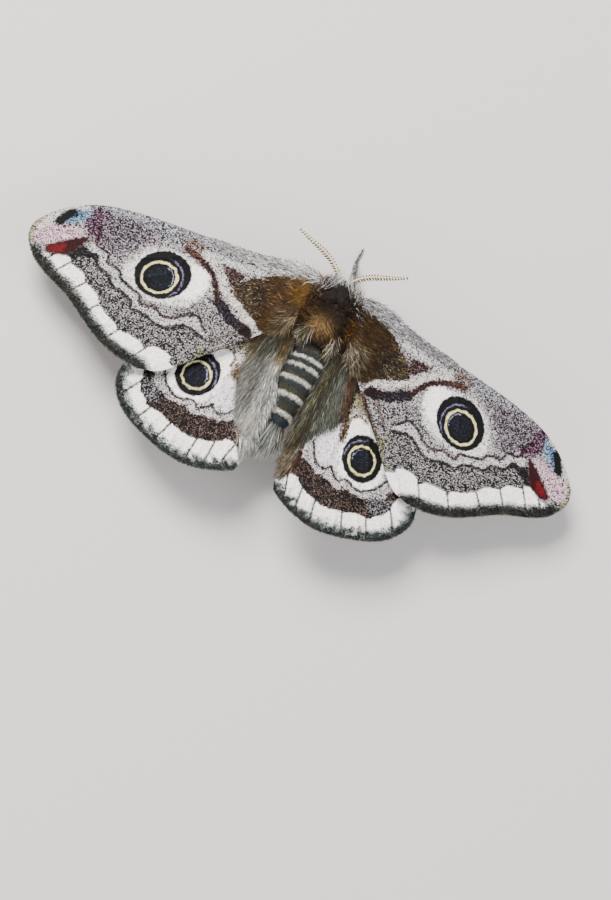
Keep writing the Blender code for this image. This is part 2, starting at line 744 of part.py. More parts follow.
def leg_locks(path, side):
    """Hair locks that stand a little off the thigh and the shin."""
    locks = []
    for k in range(LEG_LOCKS):
        at = 1.9 + 2.6 * k / (LEG_LOCKS - 1)
        i = int(at)
        here = Vector(path[i]).lerp(Vector(path[i + 1]), at - i)
        ahead = (Vector(path[i + 1]) - Vector(path[i])).normalized()
        flank = ahead.cross(Vector((0, 0, 1))).normalized()
        out = flank * (1 if k % 2 else -1) + Vector((0, 0, 0.25))
        out = (out - ahead * out.dot(ahead)).normalized()
        locks.append(lock(here + out * 0.45, out, ahead, 1.9, 0.8, side, lift=0.08,
                          rise=0.1, sink=-out * 0.42))
    return locks


def make_leg(name, side):
    """One leg; the underside of its foot is cut flat at the floor."""
    path = LEG_PATHS[name]
    leg = tube(path, LEG_RADII, LEG_SIDES, side, name)
    boolean(leg, leg_locks(path, side), "UNION")
    shell = bmesh.new()
    shell.from_mesh(leg.data)
    cut = bmesh.ops.bisect_plane(shell, geom=shell.verts[:] + shell.edges[:] + shell.faces[:],
                                 dist=1e-5, plane_co=(0, 0, 0), plane_no=(0, 0, 1),
                                 clear_inner=True)
    rim = [e for e in cut["geom_cut"] if isinstance(e, bmesh.types.BMEdge)]
    bmesh.ops.holes_fill(shell, edges=rim, sides=0)
    bmesh.ops.triangulate(shell, faces=shell.faces)
    bmesh.ops.recalc_face_normals(shell, faces=shell.faces)
    shell.to_mesh(leg.data)
    shell.free()
    finish(leg, "leg")


def main():
    clear_scene()
    random.seed(SEED)
    make_thorax()
    make_abdomen()
    make_head()
    make_wings()
    for side, letter in ((1, "L"), (-1, "R")):
        make_antenna(side, letter)
    for name in LEG_PATHS:
        make_leg(name, 1 if name.endswith("_L") else -1)


main()
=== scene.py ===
# %% [markdown]
# # A female emperor moth at life size
#
# The object is a still model of a moth, such as a museum shows: four broad wings spread
# flat, a thick ringed abdomen, a thorax under long hair, short-toothed feelers and six
# hairy legs. The solids of the moth are already made and packed, so the lesson starts
# from them as a fixed frame and gives each of them its fine surface.
#
# Nearly everything on a moth is a scale or a hair. A wing's colours are thousands of tiny
# scales, each of one colour, and the body's are hairs. So a wing is a dense sheet whose
# every scale is either pale or dark, and the body is a skin under real mesh hairs.

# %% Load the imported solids
import math

import bmesh
import bpy
import numpy as np
from mathutils import Matrix, Vector


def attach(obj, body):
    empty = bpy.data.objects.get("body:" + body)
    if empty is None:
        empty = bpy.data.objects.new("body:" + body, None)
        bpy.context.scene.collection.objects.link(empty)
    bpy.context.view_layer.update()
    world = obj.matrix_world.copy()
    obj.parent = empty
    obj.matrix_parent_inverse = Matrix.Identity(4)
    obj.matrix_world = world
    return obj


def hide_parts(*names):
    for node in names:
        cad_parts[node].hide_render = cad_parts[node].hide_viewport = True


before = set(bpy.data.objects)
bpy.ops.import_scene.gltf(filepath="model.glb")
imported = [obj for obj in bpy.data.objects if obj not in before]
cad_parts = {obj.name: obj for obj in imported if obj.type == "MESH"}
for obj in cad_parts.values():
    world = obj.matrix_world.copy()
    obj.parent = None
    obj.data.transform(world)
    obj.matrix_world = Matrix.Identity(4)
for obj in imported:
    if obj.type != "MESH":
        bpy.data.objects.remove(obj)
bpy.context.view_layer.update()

print("solids loaded:", len(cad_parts), "nodes")

# %% [markdown]
# ## Sizes in millimetres
#
# A moth is small, so it is easiest to think of it in millimetres and in its own terms:
# u runs outward from the midline of the body, v towards the head, and z up from the
# floor. One function turns these into the frame's metres, where the head looks along -Y
# and the moth's left side is at +X. `side` is 1 for the left half and -1 for the right.

# %% Millimetres to metres
MM = 0.001
V_MIDDLE = (12.322 - 24.663) / 2
LEFT, RIGHT = 1, -1


def to_frame(points):
    """Turn rows of (across, v, z) in millimetres into metres in the frame."""
    points = np.asarray(points, float)
    return np.stack([points[..., 0], V_MIDDLE - points[..., 1], points[..., 2]], -1) * MM


def from_frame(points):
    """Turn metres in the frame back into (across, v, z) in millimetres."""
    points = np.asarray(points, float) / MM
    return np.stack([points[..., 0], V_MIDDLE - points[..., 1], points[..., 2]], -1)


print("middle of the moth lies", round(-V_MIDDLE, 3), "mm behind the root of its wings")

# %% [markdown]
# ## Small tools for curves and masks
#
# A pattern on a wing is easiest to describe by how far each point lies from a line or a
# patch. These helpers work on whole arrays of points at once: a smooth curve through a
# few places, the distance to it, the signed distance to a closed patch, soft steps, and
# a smooth random field that makes edges wander.

# %% Smooth curves
def smooth_curve(points, steps=12, closed=False):
    """A Catmull-Rom curve: smooth, and through every point."""
    points = np.asarray(points, float)
    count = len(points)
    spans = count if closed else count - 1
    part = np.linspace(0, 1, steps, endpoint=False)[:, None]
    rows = []
    for i in range(spans):
        if closed:
            a, b, c, d = (points[(i + k) % count] for k in (-1, 0, 1, 2))
        else:
            b, c = points[i], points[i + 1]
            a = points[i - 1] if i else 2 * b - c
            d = points[i + 2] if i + 2 < count else 2 * c - b
        rows.append(0.5 * (2 * b + (c - a) * part + (2 * a - 5 * b + 4 * c - d) * part ** 2
                           + (3 * b - a - 3 * c + d) * part ** 3))
    if not closed:
        rows.append(points[-1:])
    return np.concatenate(rows)


def read_curve(at, grid, curve):
    """The rows of a curve, read at some values of its grid."""
    return np.stack([np.interp(at, grid, curve[:, k]) for k in range(curve.shape[1])], -1)


def even_curve(points, count):
    """The same smooth curve, read at evenly spaced places."""
    fine = smooth_curve(points)
    length = np.r_[0, np.cumsum(np.linalg.norm(np.diff(fine, axis=0), axis=1))]
    at = np.linspace(0, length[-1], count)
    return read_curve(at, length, fine)


bow = even_curve([(0, 0), (1, 1), (2, 0)], 5)
print("a bow through three places, read at five:", bow.round(2).tolist())


# %% Distances to a line and to a patch
def line_distance(places, line):
    """Distance from each place to a run of straight pieces, and where along it."""
    best = np.full(len(places), 1e9)
    along = np.zeros(len(places))
    for i in range(len(line) - 1):
        start, step = line[i], line[i + 1] - line[i]
        part = np.clip(((places - start) @ step) / max(step @ step, 1e-12), 0, 1)
        gap = np.linalg.norm(places - start - part[:, None] * step, axis=1)
        closer = gap < best
        best[closer] = gap[closer]
        along[closer] = (i + part[closer]) / (len(line) - 1)
    return best, along


def inside(places, outline):
    """True for each place inside a closed outline."""
    x, y = places[:, 0], places[:, 1]
    hit = np.zeros(len(places), bool)
    for i in range(len(outline)):
        (x0, y0), (x1, y1) = outline[i - 1], outline[i]
        crosses = (y0 > y) != (y1 > y)
        hit ^= crosses & (x < (x1 - x0) * (y - y0) / (y1 - y0 + 1e-12) + x0)
    return hit


def patch_depth(places, outline):
    """Signed distance to a closed outline, positive inside it."""
    ring = np.concatenate([outline, outline[:1]])
    gap = line_distance(places, ring)[0]
    return np.where(inside(places, outline), gap, -gap)


square = np.array([(0, 0), (2, 0), (2, 2), (0, 2)], float)
print("the middle of a 2 mm square is", patch_depth(np.array([(1.0, 1.0)]), square)[0],
      "mm inside it")


# %% Soft steps and a random field
def soft_step(value, low, high):
    part = np.clip((value - low) / (high - low), 0, 1)
    return part * part * (3 - 2 * part)


def wander(places, size, seed):
    """A smooth random field between about -1 and 1 whose bumps are `size` across."""
    draw = np.random.default_rng(seed)
    total = np.zeros(len(places))
    for _ in range(10):
        turn = draw.uniform(0, 2 * math.pi)
        way = np.array([math.cos(turn), math.sin(turn)]) * draw.uniform(0.6, 1.6)
        total += np.sin(places @ way * 2 * math.pi / size + draw.uniform(0, 6.28))
    return total / 3.2


print("half way up a soft step:", soft_step(0.5, 0, 1))

# %% [markdown]
# ## Colours and nodes
#
# Colours are written as the hex values that a colour picker shows and turned to linear
# light by one function. One more small function adds a shader node with its settings
# and links, and every material below uses it.

# %% Colour and node helpers
def linear(hex_colour):
    """The linear RGB of an sRGB hex colour."""
    parts = [int(hex_colour[i:i + 2], 16) / 255 for i in (1, 3, 5)]
    return np.array([p / 12.92 if p <= 0.04045 else ((p + 0.055) / 1.055) ** 2.4
                     for p in parts])


def new_material(name):
    """An empty material with a Principled shader, and its node tree."""
    finish = bpy.data.materials.new(name)
    finish.use_nodes = True
    return finish, finish.node_tree, finish.node_tree.nodes["Principled BSDF"]


def add(tree, kind, settings=None, **inputs):
    """Add a node, set its properties, and link or set its inputs by name."""
    node = tree.nodes.new(kind)
    for key, value in (settings or {}).items():
        setattr(node, key, value)
    for key, value in inputs.items():
        name = key.replace("_", " ")
        socket = node.inputs[int(name[1:])] if name[1:].isdigit() else node.inputs[name]
        if isinstance(value, bpy.types.NodeSocket):
            tree.links.new(value, socket)
        else:
            socket.default_value = value
    return node


def read_attribute(tree, name, output="Fac"):
    """The value or colour of a mesh attribute."""
    return add(tree, "ShaderNodeAttribute", {"attribute_name": name}).outputs[output]


print("mid grey #808080 is", round(float(linear("#808080")[0]), 3), "in linear light")

# %% [markdown]
# ## The camera
#
# The photograph looks down on the moth from about 40 cm, nearly along the normal of its
# wings. The camera was found by matching marks that the left and the right wing share:
# it is tilted towards the rear and to one side, and rolled by about 25 degrees. The
# three turns and the place of the body in the picture give it completely.

# %% Camera at the photograph's viewing angle
ROLL, REAR_TILT, SIDE_TILT = (math.radians(a) for a in (24.9607, 13.2181, 7.8993))
DISTANCE_MM = 400.0
PIXEL_MM = 0.12395
PICTURE = (611, 900)
BODY_PIXEL = (328.785, 318.392)
BODY_PLACE = np.array([0.0, 0.0, 7.5])
SENSOR_MM = 36.0

back = np.array([-math.sin(SIDE_TILT) * math.cos(REAR_TILT), -math.sin(REAR_TILT),
                 math.cos(REAR_TILT) * math.cos(SIDE_TILT)])
back /= np.linalg.norm(back)
up = np.array([0.0, 1.0, 0.0]) - back * back[1]
up /= np.linalg.norm(up)
across = np.cross(up, back)
picture_right = across * math.cos(ROLL) + up * math.sin(ROLL)
picture_up = up * math.cos(ROLL) - across * math.sin(ROLL)
shift_right = (BODY_PIXEL[0] - PICTURE[0] / 2) * PIXEL_MM
shift_up = (PICTURE[1] / 2 - BODY_PIXEL[1]) * PIXEL_MM
eye_place = (BODY_PLACE - shift_right * picture_right - shift_up * picture_up
             + DISTANCE_MM * back)

# The turns are measured with the moth's right side at +, which is -X in the frame.
MIRROR = np.array([-1.0, -1.0, 1.0])
camera_data = bpy.data.cameras.new("camera")
camera = bpy.data.objects.new("camera", camera_data)
bpy.context.collection.objects.link(camera)
axes = Matrix([list(picture_right * MIRROR), list(picture_up * MIRROR),
               list(back * MIRROR)]).transposed().to_4x4()
place = to_frame(eye_place * np.array([-1.0, 1.0, 1.0]))
camera.matrix_world = Matrix.Translation(Vector(place)) @ axes
camera_data.lens = SENSOR_MM * DISTANCE_MM / (PICTURE[1] * PIXEL_MM)
camera_data.sensor_width = SENSOR_MM
camera_data.clip_start = 0.01
bpy.context.scene.camera = camera
print("camera at", [round(float(p), 4) for p in place], "lens", round(camera_data.lens, 2))

# %% [markdown]
# ## Floor and light
#
# The model stands on a plain pale floor of matt paper, which shows shadows and nothing
# else. The photograph was taken in soft daylight from the head's side, so a large soft
# light stands there. A weaker one fills from the moth's right, a low one grazes the hair
# from behind the tail, and a pale sky lights the rest.

# %% Floor, lights and sky
FLOOR_HALF = 1.5


def soft_light(name, spot, size, power, tint):
    data = bpy.data.lights.new(name, "AREA")
    data.size = size
    data.energy = power
    data.color = tint
    lamp = bpy.data.objects.new(name, data)
    lamp.location = spot
    lamp.rotation_euler = (-Vector(spot)).to_track_quat("-Z", "Y").to_euler()
    bpy.context.collection.objects.link(lamp)


floor_bm = bmesh.new()
bmesh.ops.create_grid(floor_bm, x_segments=1, y_segments=1, size=FLOOR_HALF)
floor_mesh = bpy.data.meshes.new("floor")
floor_bm.to_mesh(floor_mesh)
floor_bm.free()
floor = bpy.data.objects.new("floor", floor_mesh)
bpy.context.collection.objects.link(floor)
paper, _, paper_shader = new_material("matt_backdrop_paper")
paper_shader.inputs["Base Color"].default_value = (*linear("#C2BEBB"), 1)
paper_shader.inputs["Roughness"].default_value = 0.9
floor_mesh.materials.append(paper)

soft_light("key_light", (0.30, -0.24, 0.40), 0.28, 10.0, (1.0, 0.97, 0.93))
soft_light("fill_light", (-0.42, 0.10, 0.30), 0.40, 2.2, (0.93, 0.96, 1.0))
soft_light("rear_light", (0.10, 0.45, 0.22), 0.30, 1.6, (1.0, 0.98, 0.96))
sky = bpy.data.worlds.new("studio_sky")
sky.use_nodes = True
sky.node_tree.nodes["Background"].inputs["Color"].default_value = (0.82, 0.86, 0.92, 1)
sky.node_tree.nodes["Background"].inputs["Strength"].default_value = 0.55
bpy.context.scene.world = sky
print("floor", 2 * FLOOR_HALF, "m across, three soft lights")

# %% [markdown]
# ## The outlines of the wings
#
# A wing is bounded by four edges: its root, its front edge, its outer edge and its rear
# or inner edge. Keeping them apart pays off twice. A square grid can be stretched
# between the four, so that it has neither poles nor slivers, and the pale and dark bands
# can be drawn by their distance from the outer edge, as they lie on the real wing.

# %% Edges and heights of the wings
FORE_COSTA = [(3.75, 3.7), (5.4, 4.3), (8.6, 3.7), (14.0, 3.0), (20.0, 2.4), (26.0, 1.7),
              (30.4, 0.7), (33.4, -0.7), (35.8, -2.6), (37.4, -4.6)]
FORE_OUTER = [(37.4, -4.6), (37.75, -6.2), (37.3, -7.6), (35.8, -9.4), (33.4, -10.7),
              (30.4, -11.9), (27.6, -13.6), (24.8, -15.2), (21.8, -16.2), (18.6, -16.5)]
FORE_REAR = [(3.65, -2.3), (7.2, -6.2), (9.8, -9.1), (12.4, -11.8), (14.6, -14.3),
             (16.4, -15.8), (18.6, -16.5)]
HIND_COSTA = [(3.5, -1.3), (6.2, -1.9), (9.4, -3.4), (13.2, -5.6), (17.0, -8.6),
              (19.3, -12.0), (20.2, -15.4), (20.5, -17.4)]
HIND_OUTER = [(20.5, -17.4), (20.2, -19.0), (18.9, -21.0), (17.0, -22.4), (14.4, -23.5),
              (11.6, -24.3), (9.0, -24.6), (6.4, -24.2), (4.2, -23.4), (2.7, -22.6)]
HIND_REAR = [(2.9, -16.2), (2.5, -18.6), (2.35, -21.2), (2.7, -22.6)]


FORE_ROOT = [(3.75, 3.7), (3.75, 2.0), (3.75, 0.0), (3.65, -2.3)]


def hind_root(side):
    """The hindwing's root edge, which follows the abdomen's lean to the left."""
    lean = 0.5 * side
    return [(3.5, -1.3), (3.35, -3.0), (3.2, -5.0), (3.25 + 0.2 * lean, -8.0),
            (3.2 + 0.6 * lean, -11.0), (2.9 + lean, -14.0), (2.9, -16.2)]


def fore_height(u, v):
    """Middle of the forewing's membrane above the floor."""
    return 7.5 - 0.065 * (u - 3) - 1.2 * (u / 38) ** 2 - 0.05 * v


def hind_height(u, v):
    """Middle of the hindwing's membrane above the floor."""
    return 6.7 - 0.10 * (u - 3) - 0.05 * (v + 3.5)


WING_HEIGHT = {"forewing": fore_height, "hindwing": hind_height}
print("forewing reaches", max(p[0] for p in FORE_OUTER), "mm from the midline")

# %% [markdown]
# ## Veins
#
# The veins stiffen the wing. They show as fine raised lines that carry the folds of the
# membrane, and as thin dark lines where they cross the white band and the margin.

# %% Where the veins run
FORE_VEINS = [
    [(4.3, 2.4), (12.0, 1.9), (20.0, 1.1), (27.0, 0.3)],
    [(4.3, 1.3), (12.0, 0.4), (19.0, -0.5), (25.5, -0.9), (32.0, -1.0)],
    [(25.5, -0.9), (31.0, -2.6), (36.7, -4.6)],
    [(31.0, -2.6), (34.5, -5.2), (37.0, -7.2)],
    [(19.0, -0.5), (22.0, -2.6), (29.0, -5.6), (35.7, -8.8)],
    [(19.0, -0.5), (20.4, -4.2), (26.5, -7.6), (33.0, -10.6)],
    [(17.0, -7.2), (23.0, -9.4), (29.8, -12.0)],
    [(17.0, -7.2), (21.5, -10.8), (25.9, -14.2)],
    [(13.2, -5.4), (17.4, -10.6), (21.9, -15.8)],
    [(4.3, 0.2), (9.0, -2.5), (13.2, -5.4), (17.0, -7.2)],
    [(4.3, -1.2), (9.5, -6.6), (17.4, -15.9)],
]
HIND_VEINS = [
    [(3.9, -3.6), (10.0, -6.4), (18.4, -11.2)],
    [(5.6, -5.8), (10.5, -9.4), (19.9, -16.2)],
    [(10.5, -9.4), (14.6, -13.6), (19.8, -19.2)],
    [(10.5, -9.4), (12.6, -14.6), (17.7, -21.5)],
    [(9.6, -13.0), (12.2, -17.4), (14.7, -23.0)],
    [(9.6, -13.0), (10.4, -17.8), (11.5, -23.9)],
    [(7.2, -11.0), (7.5, -17.0), (7.6, -24.0)],
    [(3.9, -3.6), (5.6, -5.8), (7.2, -11.0), (9.6, -13.0)],
    [(3.9, -4.4), (4.6, -12.0), (4.6, -23.1)],
]
print(len(FORE_VEINS), "veins on a forewing,", len(HIND_VEINS), "on a hindwing")

# %% [markdown]
# ## A wing as a stretched grid
#
# The sheet starts as a flat square grid with a thin wall from the solidify operator.
# Its points then move onto the wing: a Coons patch blends the four edges, so the grid's
# lines follow them, and the heights add the slope of the wing, the ridge of each vein
# and the shallow troughs between. A real wing is far thinner than its solid; a wall of
# 0.28 mm that thins to 0.1 mm at the edge stays closed and still looks like a membrane.

# %% Blend four edges and raise the veins
VEIN_RIDGE_MM = 0.13
VEIN_WIDE_MM = 0.22
FOLD_MM = 0.10
FOLD_WIDE_MM = 1.1
CURVE_POINTS = 400


def coons_patch(s, t, costa, rear, root, outer):
    """Blend four edges; s runs from the root to the outer edge, t from front to rear."""
    def read(edge, at):
        return read_curve(at, np.linspace(0, 1, CURVE_POINTS), even_curve(edge, CURVE_POINTS))

    front, back_edge = read(costa, s), read(rear, s)
    base, far = read(root, t), read(outer, t)
    s, t = s[:, None], t[:, None]
    corners = [np.asarray(p, float) for p in (costa[0], costa[-1], rear[0], rear[-1])]
    flat = ((1 - s) * (1 - t) * corners[0] + s * (1 - t) * corners[1]
            + (1 - s) * t * corners[2] + s * t * corners[3])
    return (1 - t) * front + t * back_edge + (1 - s) * base + s * far - flat


def vein_relief(places, veins):
    """Height that the veins add to the membrane, and the folds between them take."""
    gap = np.full(len(places), 9.0)
    for vein in veins:
        gap = np.minimum(gap, line_distance(places, even_curve(vein, 9))[0])
    ridge = VEIN_RIDGE_MM * np.exp(-(gap / VEIN_WIDE_MM) ** 2)
    return ridge - FOLD_MM * (1 - np.exp(-(gap / FOLD_WIDE_MM) ** 2))


print("a vein stands", VEIN_RIDGE_MM, "mm up, and a fold sinks", FOLD_MM, "mm")

# %% Stretch a grid into the sheet of a wing
SHEET_HALF_MM = 0.14
EDGE_HALF_MM = 0.05
EDGE_TAPER_MM = 0.6


def wing_sheet(name, side, edges, cells, height, veins):
    """A closed thin sheet over the four edges, with its plan places kept for painting."""
    bm = bmesh.new()
    bmesh.ops.create_grid(bm, x_segments=cells[0], y_segments=cells[1], size=1)
    bmesh.ops.solidify(bm, geom=bm.faces[:], thickness=0.1)
    mesh = bpy.data.meshes.new(name)
    bm.to_mesh(mesh)
    bm.free()
    square = np.empty(len(mesh.vertices) * 3, np.float32)
    mesh.vertices.foreach_get("co", square)
    square = square.reshape(-1, 3)
    middle = (square[:, 2].max() + square[:, 2].min()) / 2
    top = square[:, 2] > middle
    s, t = np.clip((square[:, 0] + 1) / 2, 0, 1), np.clip((square[:, 1] + 1) / 2, 0, 1)
    plan = coons_patch(s, t, *edges)
    relief = vein_relief(plan, veins)
    rim = np.full(len(plan), 9.0)
    for edge in (edges[0], edges[1], edges[3]):
        rim = np.minimum(rim, line_distance(plan, even_curve(edge, 40))[0])
    half = EDGE_HALF_MM + (SHEET_HALF_MM - EDGE_HALF_MM) * soft_step(rim, 0, EDGE_TAPER_MM)
    z = height(plan[:, 0], plan[:, 1]) + relief * soft_step(rim, 0, EDGE_TAPER_MM)
    z = z + np.where(top, half, -half)
    spots = to_frame(np.stack([plan[:, 0] * side, plan[:, 1], z], -1))
    mesh.vertices.foreach_set("co", spots.astype(np.float32).ravel())
    bm = bmesh.new()
    bm.from_mesh(mesh)
    bmesh.ops.recalc_face_normals(bm, faces=bm.faces[:])
    bm.to_mesh(mesh)
    bm.free()
    mesh.shade_smooth()
    return mesh, plan, top


print("sheet wall", 2 * SHEET_HALF_MM, "mm thick,", 2 * EDGE_HALF_MM, "mm at its edge")

# %% [markdown]
# ## Painting with scales
#
# Each scale on the wing has a single colour. A grey zone is pale and dark scales side by
# side, and a band fades where the share of dark scales drops. So the pattern is kept as
# three things at every point of the mesh: the colour of its pale scales, the colour of
# its dark scales, and the share that is dark. A painter lays one zone over another, and
# the material later decides scale by scale.

# %% A painter of pale scales, dark scales and their share
class Painter:
    """Keeps three values for each place and lays zones over one another."""

    def __init__(self, places, pale, dark, share):
        self.places = places
        count = len(places)
        self.pale = np.tile(linear(pale), (count, 1))
        self.dark = np.tile(linear(dark), (count, 1))
        self.share = np.full(count, float(share))

    def lay(self, mask, pale=None, dark=None, share=None):
        wide = mask[:, None]
        if pale:
            self.pale += (linear(pale) - self.pale) * wide
        if dark:
            self.dark += (linear(dark) - self.dark) * wide
        if share is not None:
            self.share += (share - self.share) * mask

    def near(self, points, reach):
        """The places within reach of a few points' box; the rest is left alone."""
        low, high = np.min(points, 0) - reach, np.max(points, 0) + reach
        return np.flatnonzero(np.all((self.places > low) & (self.places < high), 1))

    def patch(self, points, soft, rough, **looks):
        """Lay a smooth closed patch whose edge is `soft` wide and wanders by `rough`."""
        ring = smooth_curve(points, 4, closed=True)
        some = self.near(ring, soft + rough)
        depth = patch_depth(self.places[some], ring)
        depth += rough * wander(self.places[some], 0.9, 1)
        mask = np.zeros(len(self.places))
        mask[some] = soft_step(depth, -soft / 2, soft / 2)
        self.lay(mask, **looks)

    def stroke(self, points, wide, soft, rough, **looks):
        """Lay a smooth line of half width `wide`."""
        line = smooth_curve(points, 4)
        some = self.near(line, wide + soft + rough)
        gap = line_distance(self.places[some], line)[0]
        gap += rough * wander(self.places[some], 0.7, 1)
        mask = np.zeros(len(self.places))
        mask[some] = 1 - soft_step(gap, wide - soft / 2, wide + soft / 2)
        self.lay(mask, **looks)


print("the painter lays patches and strokes")

# %% [markdown]
# ## The eyespots
#
# All four wings carry an eyespot: a black disc, a thin lilac crescent on the side
# towards the body, a cream ring set a little off centre, and inside it a blue-black
# pupil dusted with pale blue scales. One function paints them all from a few sizes.

# %% Paint an eyespot
def oval_radius(places, centre, size, degrees):
    """1 on the rim of an oval whose long axis is turned by some degrees."""
    turn = math.radians(degrees)
    du, dv = places[:, 0] - centre[0], places[:, 1] - centre[1]
    long = du * math.cos(turn) + dv * math.sin(turn)
    wide = dv * math.cos(turn) - du * math.sin(turn)
    return np.hypot(long / size[0], wide / size[1])


def paint_eyespot(brush, disc, disc_size, ring, ring_size, turn, ring_width, crescent_end):
    u, v = brush.places[:, 0], brush.places[:, 1]
    stray = 0.05 * wander(brush.places, 0.8, 3)
    disc_r = oval_radius(brush.places, disc, disc_size, turn)
    mean = (ring_size[0] + ring_size[1]) / 2
    ring_r = oval_radius(brush.places, ring, ring_size, turn) * mean + stray
    disc_mm = (1 - disc_r) * disc_size[0] + stray
    brush.lay(soft_step(disc_mm, -0.08, 0.16), pale="#2C2733", dark="#0E0B12", share=0.93)
    angle = np.degrees(np.arctan2(v - ring[1], u - ring[0])) % 360
    basal = soft_step(angle, 80, 115) * (1 - soft_step(angle, crescent_end - 30, crescent_end))
    crescent = 1 - soft_step(np.abs(ring_r - mean - 0.52), 0.04, 0.22)
    brush.lay(crescent * basal, pale="#8C87A2", dark="#2E2A42", share=0.42)
    inner = mean - ring_width
    brush.lay(1 - soft_step(ring_r, mean - 0.06, mean + 0.06), pale="#DCD5AC",
              dark="#8E8762", share=0.14)
    brush.lay(1 - soft_step(ring_r, inner - 0.05, inner + 0.05), pale="#1E1E28",
              dark="#08080C", share=0.95)
    brush.lay(1 - soft_step(ring_r, inner - 0.6, inner - 0.2), pale="#343A4C",
              dark="#06070C", share=0.74)
    glint = 1 - soft_step(np.abs(ring_r - (inner - 0.28)), 0.03, 0.14)
    upper = soft_step(angle, 95, 120) * (1 - soft_step(angle, 185, 215))
    brush.lay(glint * upper, pale="#A7ACBC", share=0.45)


print("eyespots have six zones")

# %% [markdown]
# ## The forewing's pattern
#
# From the root outward: golden-brown fur, a white band edged in maroon, the eyespot in a
# pale field, two thin zigzag lines, a dark speckled band, a white band with a scalloped
# edge, and a grey margin. The tip has its own marks: a black spot dusted with blue, a
# rosy flush and a crimson streak. All places are (u, v) in millimetres, and both wings
# share them; in the photograph the left wing's pattern lies a little further back.

# %% Lines that bound the forewing's bands
WHITE = "#F0EDEA"
PALE_GREY = "#BDB7B8"
FORE_WHITE_EDGE = [
    (14.3, -14.4), (15.4, -14.0), (15.75, -13.25), (16.5, -12.95), (17.6, -12.85),
    (18.5, -13.2), (19.0, -13.7), (19.7, -13.25), (21.0, -13.0), (22.3, -12.95),
    (22.9, -13.1), (23.3, -12.6), (24.5, -12.05), (25.7, -11.4), (26.2, -11.0),
    (26.9, -10.2), (27.6, -9.8), (28.6, -9.4), (28.95, -9.3), (29.5, -8.5), (30.5, -8.1),
    (31.4, -7.95), (31.8, -7.4), (32.7, -7.1), (33.5, -7.6), (34.2, -8.0), (35.6, -8.2),
    (37.0, -8.0),
]
ZIGZAG_INNER = [
    (13.4, -8.3), (14.5, -7.2), (15.4, -7.3), (16.4, -7.8), (17.2, -8.5), (18.1, -8.9),
    (19.1, -8.9), (20.1, -8.45), (21.1, -8.65), (22.0, -8.65), (22.35, -7.8),
    (23.6, -7.5), (25.1, -7.0), (25.6, -6.3), (26.3, -5.95), (27.4, -5.8), (27.7, -5.2),
    (27.85, -4.7), (29.2, -4.5), (29.7, -4.1), (29.6, -3.2),
]
ZIGZAG_OUTER = [
    (13.0, -9.4), (14.6, -8.9), (16.2, -9.1), (17.3, -9.9), (18.4, -10.3), (19.4, -10.25),
    (20.4, -9.9), (21.4, -9.8), (22.5, -9.9), (23.0, -9.0), (23.8, -8.6), (25.2, -8.35),
    (26.2, -8.0), (26.5, -7.3), (27.5, -7.0), (28.4, -6.8), (28.9, -6.0), (29.6, -5.75),
    (31.0, -5.7),
]
FORE_VEIN_TIPS = [
    [(18.75, -13.4), (19.6, -14.9), (20.3, -16.4)], [(22.7, -12.8), (23.3, -13.8), (24.3, -15.6)],
    [(26.1, -10.9), (27.0, -12.1), (28.2, -13.5)], [(28.85, -9.2), (29.6, -10.3), (30.9, -12.0)],
    [(31.5, -7.6), (32.3, -8.8), (33.7, -10.9)], [(33.9, -7.9), (34.6, -8.8), (35.4, -9.8)],
]
SIDE_SHIFT_MM = 0.18
print("white band's edge has", len(FORE_WHITE_EDGE), "places")


